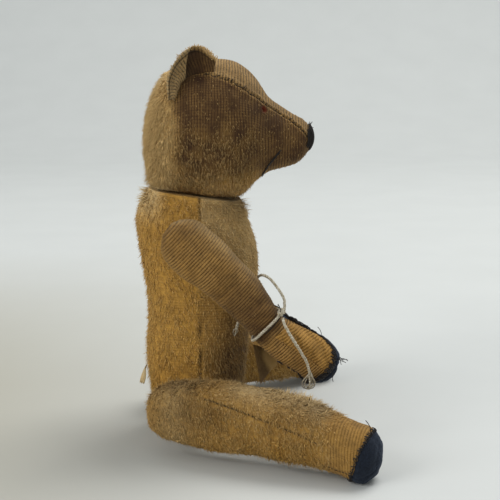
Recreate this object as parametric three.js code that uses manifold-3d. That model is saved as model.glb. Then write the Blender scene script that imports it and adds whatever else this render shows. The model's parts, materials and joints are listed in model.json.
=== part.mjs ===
// A small antique teddy bear, threadbare, seated: straw-stuffed cloth parts turning on card disc joints.
// Millimetres. +X is the way the bear faces, +Y its left side, +Z up. The origin is the middle of the flat
// spot it sits on.
import * as THREE from "three";
import { mergeVertices } from "three/addons/utils/BufferGeometryUtils.js";
import Module from "manifold-3d";

const wasm = await Module();
wasm.setup();

// ---------------------------------------------------------------- driving dimensions
const CLOTH = 1.1; // worn mohair cloth, backing and what is left of the pile
const GAP = 0.3; // air between pieces that meet
const SIDE = 21.2; // from the middle of the bear to the inner face of each limb
const FLAT = { cap: 30, power: 2.8 }; // the rounding of the body's lower end
const NECK = { z: 97.2, lean: THREE.MathUtils.degToRad(8), gap: 0.6 }; // the plane between head and body
const ARM = { x: -2, z: 80.5, half: 8.8, slopeRight: -44.2, slopeLeft: -56.5 }; // shoulder centre, degrees
const LEG = { x: -3, z: 16.9, half: 10.2, splayRight: 22, splayLeft: 33 }; // hip centre, degrees
const DISC = { thick: 1.4, washer: 0.6, washerR: 3.6, holeR: 1.5 };
const PIN = { r: 0.9, eyeR: 1.7, wire: 0.6 }; // a cotter pin: its shank, its eye and the wire it is bent from
const HOLLOW_R = 5.6; // the hollow in the filling round a pin's curled ends
const PAD = 0.9; // the paw's pad and felt
// Where the paw's pad and its felt end.
const PAW = { wrist: 46, tip: 68.5, inset: 2, low: 2.6, felt: 50, feltLow: 4.5 };
const NOSE = { thick: 0.8, x: 41.6, z: 117.6 }; // the stitched patch, in front of x and above z
const THREAD_R = 0.4;
const STRING_R = 0.55;
const WRIST = 41.5; // how far down the arm the string is tied

// Each stuffed form: [place along it, middle of the section, half its height, half its width].
const BODY_STATIONS = [
  [-4, -0.3, 17, 21.5], [20, -0.5, 18.8, 20.6], [35, -0.5, 20.6, 20.6], [46, 0.8, 20.9, 20.6],
  [55, 1.3, 21.8, 20.6], [67, 1, 23, 20.6], [78, -0.4, 23.2, 20.5], [87, -2.3, 22.2, 19.8],
  [93, -2.6, 20.2, 18], [100, -2, 17.6, 15.5], [107, -2, 15, 13],
];
const HEAD_STATIONS = [
  [-20, 117.5, 21, 14], [-15, 118.8, 23, 17], [-8, 121.1, 24.9, 19.6], [0, 122, 26.9, 20.3],
  [8, 121.6, 27.6, 20.3], [15, 121.8, 26.4, 19], [20, 122.4, 22.8, 17], [24, 122, 18.8, 14.6],
  [28, 120.4, 14.6, 12], [33, 119, 12, 10], [38, 118.3, 9.7, 8.6], [42, 118.8, 7.6, 7.4],
  [46, 119.3, 7, 7],
];
const ARM_STATIONS = [
  [-10.8, 0, 10.2, 8.8], [0, 0, 10.2, 8.8], [6, 0, 10.2, 8.7], [15, 0.6, 9.2, 8.3], [25, 1, 8.7, 7.7],
  [33, 0, 7.9, 7.3], [40, -0.9, 6.9, 7], [44, -1.6, 6.8, 7], [50, -0.6, 7.7, 7.2], [56, 0.6, 8.6, 7.4],
  [62, 1.8, 9.2, 7.4], [74, 2.4, 9, 7.2],
];
const LEG_STATIONS = [
  [-12, 0, 10.4, 10], [0, 0.3, 10.8, 10.2], [10, 0.4, 12, 10.2], [18, 0.3, 12.7, 10.2],
  [30, 0.4, 12.5, 10], [43, -0.6, 12, 9.6], [55, -2, 11, 9.2], [63, -4.1, 10.7, 9.2], [70, -6, 10.3, 9.2],
  [80, -7.4, 10, 9.2],
];
const SOLE = { u: 73, v: -8, lean: THREE.MathUtils.degToRad(18.5) }; // the sole seam's plane on the leg

// ---------------------------------------------------------------- meshes and solids
const solidOf = (geometry) => {
  const bare = geometry.clone();
  for (const name of Object.keys(bare.attributes)) if (name !== "position") bare.deleteAttribute(name);
  const merged = mergeVertices(bare, 1e-4);
  return new wasm.Manifold(
    new wasm.Mesh({
      numProp: 3,
      vertProperties: new Float32Array(merged.attributes.position.array),
      triVerts: new Uint32Array(merged.index.array),
    }),
  );
};
const geometryOf = (solid) => {
  const { vertProperties, triVerts } = solid.getMesh();
  return new THREE.BufferGeometry()
    .setAttribute("position", new THREE.BufferAttribute(vertProperties, 3))
    .setIndex(new THREE.BufferAttribute(triVerts, 1));
};

// A closed surface from rings of points, with one point closing each end.
function ringsGeometry(rings, first, last) {
  const count = rings[0].length;
  const points = [first, ...rings.flat(), last];
  const end = points.length - 1;
  const faces = [];
  rings.forEach((ring, r) => {
    for (let i = 0; i < count; i++) {
      const a = 1 + r * count + i;
      const b = 1 + r * count + ((i + 1) % count);
      if (r === 0) faces.push(0, b, a);
      if (r < rings.length - 1) faces.push(a, b, b + count, a, b + count, a + count);
      else faces.push(a, b, end);
    }
  });
  return new THREE.BufferGeometry()
    .setAttribute("position", new THREE.Float32BufferAttribute(points.flat(), 3))
    .setIndex(faces);
}

// A closed loop of cord: at(turn) is its middle line, and each round section lies across it, in the plane of
// the loop's outward way there and the given axis.
function loopGeometry(at, outward, axis, radius, around = 20, sides = 8) {
  const points = [];
  const faces = [];
  for (let i = 0; i < around; i++)
    for (let k = 0; k < sides; k++) {
      const [turn, roll] = [(2 * Math.PI * i) / around, (2 * Math.PI * k) / sides];
      const point = new THREE.Vector3(...at(turn))
        .addScaledVector(new THREE.Vector3(...outward(turn)), radius * Math.cos(roll))
        .addScaledVector(new THREE.Vector3(...axis), radius * Math.sin(roll));
      points.push(point.toArray());
      const [a, b] = [i * sides + k, i * sides + ((k + 1) % sides)];
      const [c, d] = [a, b].map((n) => (n + sides) % (around * sides));
      faces.push(a, c, b, b, c, d);
    }
  return new THREE.BufferGeometry()
    .setAttribute("position", new THREE.Float32BufferAttribute(points.flat(), 3))
    .setIndex(faces);
}

// A thin curved piece: at(u, v) gives its middle surface for u and v from 0 to 1, and thick is laid half on
// each side of it along across(u, v).
function leafGeometry(at, across, thick, nu, nv) {
  const side = (sign) => {
    const points = [];
    for (let j = 0; j <= nv; j++)
      for (let i = 0; i <= nu; i++) {
        const way = new THREE.Vector3(...across(i / nu, j / nv)).normalize();
        const point = new THREE.Vector3(...at(i / nu, j / nv)).addScaledVector(way, (sign * thick) / 2);
        points.push(point.toArray());
      }
    return points;
  };
  const row = nu + 1;
  const total = row * (nv + 1);
  const faces = [];
  const quad = (a, b, c, d) => faces.push(a, b, c, a, c, d);
  for (let j = 0; j < nv; j++)
    for (let i = 0; i < nu; i++) {
      const a = j * row + i;
      quad(a, a + 1, a + row + 1, a + row);
      quad(total + a, total + a + row, total + a + row + 1, total + a + 1);
    }
  for (let i = 0; i < nu; i++) {
    quad(total + i, total + i + 1, i + 1, i);
    quad(nv * row + i, nv * row + i + 1, total + nv * row + i + 1, total + nv * row + i);
  }
  for (let j = 0; j < nv; j++) {
    quad(j * row, (j + 1) * row, total + (j + 1) * row, total + j * row);
    quad(total + j * row + nu, total + (j + 1) * row + nu, (j + 1) * row + nu, j * row + nu);
  }
  return new THREE.BufferGeometry()
    .setAttribute("position", new THREE.Float32BufferAttribute([...side(1), ...side(-1)].flat(), 3))
    .setIndex(faces);
}

// The smooth value, at place s, of column k of a list of stations (a cubic through them).
function along(stations, s, k) {
  const last = stations.length - 1;
  let i = 0;
  while (i < last - 1 && s > stations[i + 1][0]) i++;
  const slope = (n) => {
    const a = stations[Math.max(n - 1, 0)];
    const b = stations[Math.min(n + 1, last)];
    return (b[k] - a[k]) / (b[0] - a[0]);
  };
  const [p, q] = [stations[i], stations[i + 1]];
  const h = q[0] - p[0];
  const t = THREE.MathUtils.clamp((s - p[0]) / h, 0, 1);
  return (
    p[k] * (1 + 2 * t) * (1 - t) ** 2 +
    q[k] * t * t * (3 - 2 * t) +
    h * slope(i) * t * (1 - t) ** 2 -
    h * slope(i + 1) * t * t * (1 - t)
  );
}

// A stuffed form: sections of |a / height| ^ power + |b / width| ^ power = 1 across a line, closed at each
// end by a round cap. grown moves its whole surface out, or in where it is negative.
class Form {
  constructor(stations, capFirst, capLast, power, capPower = 2) {
    Object.assign(this, { stations, capFirst, capLast, power, capPower });
    this.from = stations[0][0];
    this.to = stations.at(-1)[0];
  }
  point(s, turn, grown = 0) {
    const cap = (depth, length) => {
      const left = THREE.MathUtils.clamp(1 - depth / length, 0, 1);
      return (1 - left ** this.capPower) ** (1 / this.capPower);
    };
    const round =
      cap(s - this.from + grown, this.capFirst + grown) * cap(this.to + grown - s, this.capLast + grown);
    const clamped = THREE.MathUtils.clamp(s, this.from, this.to);
    const [middle, height, width] = [1, 2, 3].map((k) => along(this.stations, clamped, k));
    const oval = (x) => Math.sign(x) * Math.abs(x) ** (2 / this.power);
    return [
      s,
      middle + round * (height + grown) * oval(Math.cos(turn)),
      round * (width + grown) * oval(Math.sin(turn)),
    ];
  }
  geometry(grown = 0, segments = 12, middleRings = 7, capRings = 3) {
    const [low, high] = [this.from - grown, this.to + grown];
    const [a, b] = [this.capFirst + grown, this.capLast + grown];
    const places = [];
    const inCap = (i) => 1 - Math.cos((i / capRings) * (Math.PI / 2));
    for (let i = 1; i <= capRings; i++) places.push(low + a * inCap(i));
    for (let i = 1; i < middleRings; i++) places.push(low + a + ((high - b - low - a) * i) / middleRings);
    for (let i = capRings; i >= 1; i--) places.push(high - b * inCap(i));
    const rings = places.map((s) =>
      Array.from({ length: segments }, (_, i) => this.point(s, (2 * Math.PI * i) / segments, grown)),
    );
    const pole = (s) => [s, this.point(s, 0, grown)[1], 0];
    return ringsGeometry(rings, pole(low), pole(high));
  }
}

const placed = (geometry, xAxis, yAxis, zAxis, at = [0, 0, 0]) =>
  geometry.clone().applyMatrix4(
    new THREE.Matrix4()
      .makeBasis(...[xAxis, yAxis, zAxis].map((a) => new THREE.Vector3(...a)))
      .setPosition(...at),
  );
// A big block whose face passes through a point, filling the side that the normal points to.
const HUGE = 400;
function halfSpace(point, normal) {
  const way = new THREE.Vector3(...normal).normalize();
  const turn = new THREE.Quaternion().setFromUnitVectors(new THREE.Vector3(0, 0, 1), way);
  const middle = new THREE.Vector3(...point).addScaledVector(way, HUGE / 2);
  const block = new THREE.BoxGeometry(HUGE, HUGE, HUGE).applyQuaternion(turn);
  return solidOf(block.translate(middle.x, middle.y, middle.z));
}
// A round bar along Z from one height to another.
const bar = (radius, low, high, sides = 18) =>
  new THREE.CylinderGeometry(radius, radius, high - low, sides)
    .rotateX(Math.PI / 2)
    .translate(0, 0, (low + high) / 2);
const ring = (outer, inner, low, high, sides = 14) =>
  solidOf(bar(outer, low, high, sides)).subtract(solidOf(bar(inner, low - 1, high + 1, sides)));
// A cord along points, as an extruded round section.
function cord(points, radius, steps, sides = 8) {
  const path = new THREE.CatmullRomCurve3(points.map((p) => new THREE.Vector3(...p)));
  const section = new THREE.Shape(
    Array.from({ length: sides }, (_, i) => {
      const turn = (2 * Math.PI * i) / sides;
      return new THREE.Vector2(radius * Math.cos(turn), radius * Math.sin(turn));
    }),
  );
  return new THREE.ExtrudeGeometry(section, { steps, extrudePath: path, bevelEnabled: false });
}

// ---------------------------------------------------------------- materials and the group
const material = (color, roughness, metalness = 0) =>
  new THREE.MeshStandardMaterial({ color, roughness, metalness });
const FINISH = {
  gold_mohair: material(0x9a7434, 0.95),
  bare_cloth: material(0x8a693c, 0.95),
  straw: material(0xb79a5c, 0.98),
  card: material(0x8b7a5c, 0.9),
  steel: material(0x7d7a74, 0.4, 0.9),
  navy_felt: material(0x10161f, 0.98),
  black_thread: material(0x17130f, 0.8),
  white_cotton: material(0xd8d2c2, 0.9),
  tag_card: material(0x8a7048, 0.9),
};
const bear = new THREE.Group();
function add(name, shape, finish, parent = bear) {
  const mesh = new THREE.Mesh(shape.isBufferGeometry ? shape : geometryOf(shape), FINISH[finish]);
  mesh.name = name;
  parent.add(mesh);
  return mesh;
}

// ---------------------------------------------------------------- a card disc joint
// In a frame whose Z is the joint's axis, pointing out of the body: the cotter pin's eye, the limb's washer
// and disc lie beyond the cloth of the limb, the other disc, the washer and the curled ends inside the body.
function jointPieces({ name, limb, frame, discR, inLimb, inBody }) {
  const { thick, washer, washerR, holeR } = DISC;
  const limbDisc = [inLimb, inLimb + thick];
  const limbWasher = [limbDisc[1] + GAP, limbDisc[1] + GAP + washer];
  const bodyDisc = [-inBody - thick, -inBody];
  const bodyWasher = [bodyDisc[0] - GAP - washer, bodyDisc[0] - GAP];
  const top = limbWasher[1] + GAP + PIN.eyeR + PIN.wire;
  const foot = bodyWasher[0] - GAP - PIN.wire;
  const eye = new THREE.TorusGeometry(PIN.eyeR, PIN.wire, 6, 10).rotateY(Math.PI / 2).translate(0, 0, top);
  const shank = solidOf(bar(PIN.r, foot - 0.4, top - PIN.eyeR + 0.2, 8));
  const curl = (way) =>
    solidOf(
      cord([[0, 0, foot], [way * 2.2, 0, foot - 0.3], [way * 3.9, 0, foot - 1.1], [way * 4.4, 0, foot - 2.6]],
        PIN.wire, 4, 6),
    );
  add(`${limb}_disc`, ring(discR, holeR, ...limbDisc, 18), "card", frame);
  add(`${limb}_washer`, ring(washerR, holeR, ...limbWasher), "steel", frame);
  add(`${name}_disc`, ring(discR, holeR, ...bodyDisc, 18), "card", frame);
  add(`${name}_washer`, ring(washerR, holeR, ...bodyWasher), "steel", frame);
  add(`${name}_pin`, shank.add(solidOf(eye)).add(curl(1)).add(curl(-1)), "steel", frame);
  return {
    limbRoom: solidOf(bar(discR + GAP, -1, limbDisc[1] + GAP)).add(
      solidOf(bar(washerR + GAP, 0, top + PIN.eyeR + PIN.wire + GAP)),
    ),
    bodyRoom: solidOf(bar(discR + GAP, bodyDisc[0] - GAP, 30)).add(solidOf(bar(HOLLOW_R, foot - 4, 0))),
    hole: solidOf(bar(holeR, -6, 6)),
  };
}
const frameAt = (position, xAxis, yAxis, zAxis) => {
  const frame = new THREE.Group();
  frame.matrixAutoUpdate = false;
  frame.matrix
    .makeBasis(...[xAxis, yAxis, zAxis].map((a) => new THREE.Vector3(...a)))
    .setPosition(...position);
  bear.add(frame);
  return frame;
};
// A solid taken from one frame's own coordinates into the bear's.
const outOf = (frame, solid) => solidOf(orient(geometryOf(solid), frame.matrix));
function orient(geometry, matrix) {
  const moved = geometry.clone().applyMatrix4(matrix);
  if (matrix.determinant() < 0) {
    const index = moved.index.array;
    for (let i = 0; i < index.length; i += 3) [index[i + 1], index[i + 2]] = [index[i + 2], index[i + 1]];
  }
  return moved;
}

// ---------------------------------------------------------------- limbs
// A limb's frame: X runs down the limb from its joint, Y is the limb's upper side, Z points out sideways.
const limbShape = (form, half, grown, segments) => {
  const shape = solidOf(form.geometry(grown, segments).translate(0, 0, half));
  return shape.intersect(halfSpace([0, 0, -grown], [0, 0, 1]));
};
const armForm = new Form(ARM_STATIONS, 10.8, 9, 2.4);
const legForm = new Form(LEG_STATIONS, 12, 7, 2.4);

function buildArm(side, out, slope) {
  const angle = THREE.MathUtils.degToRad(slope);
  const frame = frameAt(
    [ARM.x, out * SIDE, ARM.z],
    [Math.cos(angle), 0, Math.sin(angle)],
    [-Math.sin(angle), 0, Math.cos(angle)],
    [0, out, 0],
  );
  const joint = jointPieces({
    name: `shoulder_${side}`, limb: `arm_${side}`, frame, discR: 5.6, inLimb: 3, inBody: 3.4,
  });
  const outer = limbShape(armForm, ARM.half, 0, 14);
  const inner = limbShape(armForm, ARM.half, -CLOTH, 14);
  add(`arm_${side}_cover`, outer.subtract(inner).subtract(joint.hole), "bare_cloth", frame);
  const filling = limbShape(armForm, ARM.half, -CLOTH - GAP, 10);
  add(`arm_${side}_stuffing`, filling.subtract(joint.limbRoom), "straw", frame);

  // The paw: a cloth pad on the upper outer face, and a felt patch over the tip and the upper inner face.
  const layer = solidOf(armForm.geometry(GAP + PAD, 14).translate(0, 0, ARM.half))
    .subtract(solidOf(armForm.geometry(GAP, 14).translate(0, 0, ARM.half)));
  const padSide = (shift) =>
    halfSpace([PAW.wrist + shift, 0, 0], [1, 0, 0])
      .intersect(halfSpace([PAW.tip - shift, 0, 0], [-1, 0, 0]))
      .intersect(halfSpace([0, 0, ARM.half - PAW.inset + shift], [0, 0, 1]))
      .intersect(halfSpace([PAW.wrist, PAW.low + shift, 0], [0.08, 1, 0]));
  add(`paw_pad_${side}`, layer.intersect(padSide(0)), "bare_cloth", frame);
  const feltSide = halfSpace([PAW.felt, 0, 0], [1, 0, 0])
    .intersect(halfSpace([PAW.wrist, PAW.feltLow, 0], [0.55, 0.83, 0]))
    .subtract(padSide(-GAP));
  add(`paw_felt_${side}`, layer.intersect(feltSide), "navy_felt", frame);
  return { frame, joint };
}

function buildLeg(side, out, splay) {
  const angle = THREE.MathUtils.degToRad(splay);
  const way = [Math.cos(angle), out * Math.sin(angle), 0];
  const across = [-Math.sin(angle), out * Math.cos(angle), 0];
  // The hip lies where its axis, square to the splayed leg, leaves the side of the body.
  const hipY = (SIDE - LEG.x * across[0]) / Math.cos(angle);
  const frame = frameAt([LEG.x, out * hipY, LEG.z], way, [0, 0, 1], across);
  const inBody = 1.2 + 0.31 * splay; // a leg that splays more has its disc deeper behind the body's round side
  const joint = jointPieces({
    name: `hip_${side}`, limb: `leg_${side}`, frame, discR: 6, inLimb: 3.4, inBody,
  });
  const normal = [Math.cos(SOLE.lean), -Math.sin(SOLE.lean), 0];
  const ankleSide = halfSpace([SOLE.u, SOLE.v, 0], normal.map((n) => -n));
  const soleSide = halfSpace([SOLE.u + GAP, SOLE.v, 0], normal);
  const shell = limbShape(legForm, LEG.half, 0, 14).subtract(limbShape(legForm, LEG.half, -CLOTH, 14));
  add(`leg_${side}_cover`, shell.intersect(ankleSide).subtract(joint.hole), "gold_mohair", frame);
  add(`sole_felt_${side}`, shell.intersect(soleSide), "navy_felt", frame);
  const filling = limbShape(legForm, LEG.half, -CLOTH - GAP, 10);
  add(`leg_${side}_stuffing`, filling.subtract(joint.limbRoom), "straw", frame);
  return { frame, joint };
}

const limbs = [
  buildArm("right", -1, ARM.slopeRight),
  buildArm("left", 1, ARM.slopeLeft),
  buildLeg("right", -1, LEG.splayRight),
  buildLeg("left", 1, LEG.splayLeft),
];

// ---------------------------------------------------------------- neck, body and head
const neckUp = [Math.sin(NECK.lean), 0, Math.cos(NECK.lean)];
const neckAcross = [Math.cos(NECK.lean), 0, -Math.sin(NECK.lean)];
const neckFrame = frameAt(
  [ARM.x, 0, NECK.z - ARM.x * Math.tan(NECK.lean)], neckAcross, [0, 1, 0], neckUp,
);
const neckJoint = jointPieces({
  name: "neck", limb: "head", frame: neckFrame, discR: 10, inLimb: NECK.gap + 1.6, inBody: 1.6,
});

const bodyForm = new Form(BODY_STATIONS, FLAT.cap, 5, 2.4, FLAT.power);
const bodySolid = (grown, segments) => {
  const shape = placed(bodyForm.geometry(grown, segments, 9), [0, 0, 1], [1, 0, 0], [0, 1, 0]);
  return solidOf(shape)
    .intersect(halfSpace([0, 0, -grown], [0, 0, 1]))
    .intersect(halfSpace([0, 0, NECK.z + grown], neckUp.map((n) => -n)));
};
const joints = [...limbs, { frame: neckFrame, joint: neckJoint }];
const bodyHoles = joints.map(({ frame, joint }) => outOf(frame, joint.hole));
const bodyRooms = joints.map(({ frame, joint }) => outOf(frame, joint.bodyRoom));
const cut = (solid, tools) => tools.reduce((rest, tool) => rest.subtract(tool), solid);
add("body_cover", cut(bodySolid(0, 16).subtract(bodySolid(-CLOTH, 16)), bodyHoles), "gold_mohair");
add("body_stuffing", cut(bodySolid(-CLOTH - GAP, 16), bodyRooms), "straw");

const headForm = new Form(HEAD_STATIONS, 9, 5, 2.3);
const headSolid = (grown, segments) => {
  const shape = placed(headForm.geometry(grown, segments, 10), [1, 0, 0], [0, 0, 1], [0, -1, 0]);
  return solidOf(shape).intersect(halfSpace([0, 0, NECK.z + NECK.gap - grown], neckUp));
};
const headRoom = outOf(neckFrame, neckJoint.limbRoom);
add("head_cover", headSolid(0, 16).subtract(headSolid(-CLOTH, 16)).subtract(bodyHoles.at(-1)), "bare_cloth");
add("head_stuffing", headSolid(-CLOTH - GAP, 16).subtract(headRoom), "straw");

// A point on the head, lifted off its surface: turn 0 is the top, positive to the bear's right.
const onHead = (x, turn, lift) => {
  const [s, z, b] = headForm.point(x, turn, lift);
  return [s, -b, z];
};
const headSkin = (grown) =>
  solidOf(placed(headForm.geometry(grown, 16, 10), [1, 0, 0], [0, 0, 1], [0, -1, 0]));
const noseLayer = headSkin(GAP + NOSE.thick).subtract(headSkin(GAP));
const noseSide = halfSpace([NOSE.x, 0, 0], [1, 0, 0]).intersect(halfSpace([0, 0, NOSE.z], [0, 0, 1]));
add("nose_stitching", noseLayer.intersect(noseSide), "black_thread");
// The mouth is one long stitched line across the underside of the muzzle and up both its sides: how far
// forward, and the turn from under the chin.
const mouthHalf = [[32.7, 1.28], [30.6, 1.06], [28.6, 0.82], [26.8, 0.55], [25.6, 0.28]];
const mirrored = mouthHalf.map(([x, turn]) => [x, -turn]).reverse();
const mouthLine = [...mouthHalf, [25.2, 0], ...mirrored];
add(
  "mouth_stitching",
  cord(mouthLine.map(([x, turn]) => onHead(x, Math.PI + turn, GAP + 0.1 + THREAD_R)), THREAD_R, 20, 6),
  "black_thread",
);

// Each ear is a cupped leaf of doubled cloth between its sewn edge and its rim. Both are given for the left
// ear, from the low rear end of the ear to its front.
const EAR = {
  base: [[-7.5, 18.3, 134.4], [-6.3, 17.6, 138.4], [-4, 15.2, 142.9], [1.5, 13.9, 145.4], [7.2, 13.3, 145.6]],
  rim: [[-9.9, 19.2, 134.2], [-10, 20, 142.5], [-5.5, 20, 150.4], [1, 18.6, 154.1], [8, 15.4, 148.6]],
  thick: 1.6,
  cup: 2.6,
  inward: [-0.3, -0.95, 0],
};
function ear(out) {
  const toSide = ([x, y, z]) => new THREE.Vector3(x, out * y, z);
  const [base, rim] = [EAR.base, EAR.rim].map((points) => new THREE.CatmullRomCurve3(points.map(toSide)));
  const inward = new THREE.Vector3(...EAR.inward);
  inward.y *= out;
  const at = (u, v) => {
    const cup = EAR.cup * Math.sin(Math.PI * v) * Math.sin(Math.PI * u);
    return base.getPoint(u).lerp(rim.getPoint(u), v).addScaledVector(inward, cup).toArray();
  };
  return leafGeometry(at, () => inward.toArray().map((c) => c * out), EAR.thick, 10, 4);
}
add("ear_right", ear(-1), "bare_cloth");
add("ear_left", ear(1), "bare_cloth");

// A torn scrap of the body's cloth hangs from the middle seam, low on the back.
const scrapAt = (u, v) => [-21.1 - 1.9 * v, (u - 0.5) * 7 * (1 - 0.8 * v), 26 - 7.6 * v];
add("back_scrap", leafGeometry(scrapAt, () => [-1, 0, 0.2], 0.5, 4, 3), "gold_mohair");

// ---------------------------------------------------------------- the string and its tag
// A white cotton string is knotted round the right wrist. Its two ends are cords of their own, in the arm's
// frame: how far down the arm, above its middle, and out from its inner face.
const armRight = limbs[0].frame;
const onArm = (u, turn, lift) => {
  const [s, v, w] = armForm.point(u, turn, lift);
  return [s, v, w + ARM.half];
};
const knotAt = onArm(WRIST, 0.42, GAP + 1.7);
const wristLoop = loopGeometry(
  (turn) => onArm(WRIST, turn, 2.6 * GAP + STRING_R),
  (turn) => [0, Math.cos(turn), Math.sin(turn)],
  [1, 0, 0],
  STRING_R,
);
const knot = new THREE.IcosahedronGeometry(1.35, 1).translate(...knotAt);
add("wrist_string", solidOf(wristLoop).add(solidOf(knot)), "white_cotton", armRight);

// The long end lies along the lower edge of the paw's pad.
const LONG_END = [
  [43.2, 0.62], [45, 0.86], [47.6, 1.07], [51.6, 1.31], [54.2, 1.42], [57.4, 1.54], [60.4, 1.62],
  [63.5, 1.78], [66.5, 2], [68.2, 2.3], [69, 2.6],
];
const longEnd = LONG_END.map(([u, turn]) => onArm(u, turn, PAD + 2 * GAP + STRING_R));
add("string_long_end", cord(longEnd, STRING_R, 14), "white_cotton", armRight);

// The short end rises in a small loop, then passes behind the arm and hangs out below it.
const SHORT_END = [
  [40.9, 9.2, 11.2], [39.4, 10.6, 10.5], [37, 11.4, 9.6], [33.8, 12, 8.4], [30.4, 12.1, 6.9],
  [28, 11.2, 5.2], [27.3, 9.4, 3], [28, 6.6, 1], [29.6, 2.6, 0.35], [31.4, -1.8, 0.35],
  [33, -5.4, 0.9], [34.2, -8.6, 2.2], [35.6, -11.6, 3],
];
add("string_short_end", cord(SHORT_END, STRING_R, 20), "white_cotton", armRight);

// A curled card tag hangs from the string under the wrist.
const tagAt = (u, v) => {
  const left = [21.8 + 3 * v, 43.9 - 15.5 * v];
  const right = [31.2, 37.2 - 3.6 * v];
  return [
    left[0] + (right[0] - left[0]) * u,
    -(33.5 - 8.5 * u - 2.2 * Math.sin(Math.PI * u)),
    left[1] + (right[1] - left[1]) * u,
  ];
};
add("tag", leafGeometry(tagAt, () => [-0.62, 0.78, 0], 0.5, 6, 4), "tag_card");

export default bear;
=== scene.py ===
"""A small antique teddy bear, threadbare, seated on a pale floor: straw-stuffed mohair on card-disc joints.

Every form is worked out in millimetres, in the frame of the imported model, and goes into its mesh in metres.
"""

import json

import bmesh
import bpy
import numpy as np
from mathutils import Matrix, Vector


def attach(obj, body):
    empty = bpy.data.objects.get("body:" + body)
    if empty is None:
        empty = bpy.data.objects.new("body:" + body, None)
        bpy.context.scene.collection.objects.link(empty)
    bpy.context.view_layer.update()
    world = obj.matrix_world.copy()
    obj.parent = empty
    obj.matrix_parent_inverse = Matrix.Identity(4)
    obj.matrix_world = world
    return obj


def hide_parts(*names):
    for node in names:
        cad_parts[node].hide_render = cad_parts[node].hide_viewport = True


bl_info = {
    "name": "Threadbare Bear",
    "version": (1, 0, 0),
    "blender": (4, 5, 0),
    "location": "View3D > Sidebar > Bear",
    "description": "Builds the cloth, pile, stitching and string of a worn jointed bear round its model",
    "category": "Add Mesh",
}

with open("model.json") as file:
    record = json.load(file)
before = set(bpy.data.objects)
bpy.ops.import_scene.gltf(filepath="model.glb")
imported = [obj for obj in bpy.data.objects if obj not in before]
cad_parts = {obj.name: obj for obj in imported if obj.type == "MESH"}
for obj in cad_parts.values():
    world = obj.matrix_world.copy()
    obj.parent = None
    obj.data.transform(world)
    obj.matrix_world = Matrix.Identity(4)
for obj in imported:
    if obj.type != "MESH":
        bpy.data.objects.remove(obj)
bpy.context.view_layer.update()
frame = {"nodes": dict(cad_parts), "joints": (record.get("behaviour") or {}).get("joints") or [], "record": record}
SIDES = {"right": -1, "left": 1}
FINENESS = {"right": 1.0, "left": 0.76}  # of a limb's mesh, along it and round it
MM = 0.001
RECORD = frame["record"]
JOINTS = {joint["name"]: joint for joint in frame["joints"]}

# ------------------------------------------------------------------- forms
# Each station is [place along the form, middle, half height, half width].
BODY_STATIONS = [
    [-4, -0.3, 17, 21.5], [20, -0.5, 18.8, 20.6], [35, -0.5, 20.6, 20.6], [46, 0.8, 20.9, 20.6],
    [55, 1.3, 21.8, 20.6], [67, 1, 23, 20.6], [78, -0.4, 23.2, 20.5], [87, -2.3, 22.2, 19.8],
    [93, -2.6, 20.2, 18], [100, -2, 17.6, 15.5], [107, -2, 15, 13],
]
HEAD_STATIONS = [
    [-20, 117.5, 21, 14], [-15, 118.8, 23, 17], [-8, 121.1, 24.9, 19.6], [0, 122, 26.9, 20.3],
    [8, 121.6, 27.6, 20.3], [15, 121.8, 26.4, 19], [20, 122.4, 22.8, 17], [24, 122, 18.8, 14.6],
    [28, 120.4, 14.6, 12], [33, 119, 12, 10], [38, 118.3, 9.7, 8.6], [42, 118.8, 7.6, 7.4],
    [46, 119.3, 7, 7],
]
ARM_STATIONS = [
    [-10.8, 0, 10.2, 8.8], [0, 0, 10.2, 8.8], [6, 0, 10.2, 8.7], [15, 0.6, 9.2, 8.3], [25, 1, 8.7, 7.7],
    [33, 0, 7.9, 7.3], [40, -0.9, 6.9, 7], [44, -1.6, 6.8, 7], [50, -0.6, 7.7, 7.2], [56, 0.6, 8.6, 7.4],
    [62, 1.8, 9.2, 7.4], [74, 2.4, 9, 7.2],
]
LEG_STATIONS = [
    [-12, 0, 10.4, 10], [0, 0.3, 10.8, 10.2], [10, 0.4, 12, 10.2], [18, 0.3, 12.7, 10.2],
    [30, 0.4, 12.5, 10], [43, -0.6, 12, 9.6], [55, -2, 11, 9.2], [63, -4.1, 10.7, 9.2], [70, -6, 10.3, 9.2],
    [80, -7.4, 10, 9.2],
]
ARM_HALF, LEG_HALF = 8.8, 10.2
ARM_SLOPES = {"right": -44.2, "left": -56.5}
SOLE = {"u": 73, "v": -8, "lean": np.radians(18.5)}
NECK = {"z": 97.2, "lean": np.radians(8), "gap": 0.6}
PAD, GAP, STRING_R, WRIST = 0.9, 0.3, 0.55, 41.5
SIDE_SEAM = 1.5  # how far forward of the body's middle its side seams run
HAIRS = {"head": 27000, "body": 38000, "arm": 3200, "leg_right": 22000, "leg_left": 10000}


def ramp(value, low, high):
    """From 0 at low to 1 at high: t * t * (3 - 2t), where t is how far value has come. High may be below
    low."""
    t = np.clip((value - low) / (high - low), 0, 1)
    return t * t * (3 - 2 * t)


def bump_at(value, middle, spread):
    """A smooth hump: e to the minus ((value - middle) / spread) squared."""
    return np.exp(-(((value - middle) / spread) ** 2))


def unit(vectors):
    """Each vector over its own length."""
    return vectors / np.maximum(np.linalg.norm(vectors, axis=-1, keepdims=True), 1e-9)


def lumps(points, size, seed, waves=10):
    """Smooth unevenness of about -1 to 1: a sum of sine waves about size long, in directions drawn from
    seed."""
    draw = np.random.default_rng(seed)
    ways = unit(draw.normal(size=(waves, 3))) * (2 * np.pi / (size * draw.uniform(0.7, 1.6, (waves, 1))))
    return np.sin(points @ ways.T + draw.uniform(0, 2 * np.pi, waves)).sum(-1) * (1.6 / waves)


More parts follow.
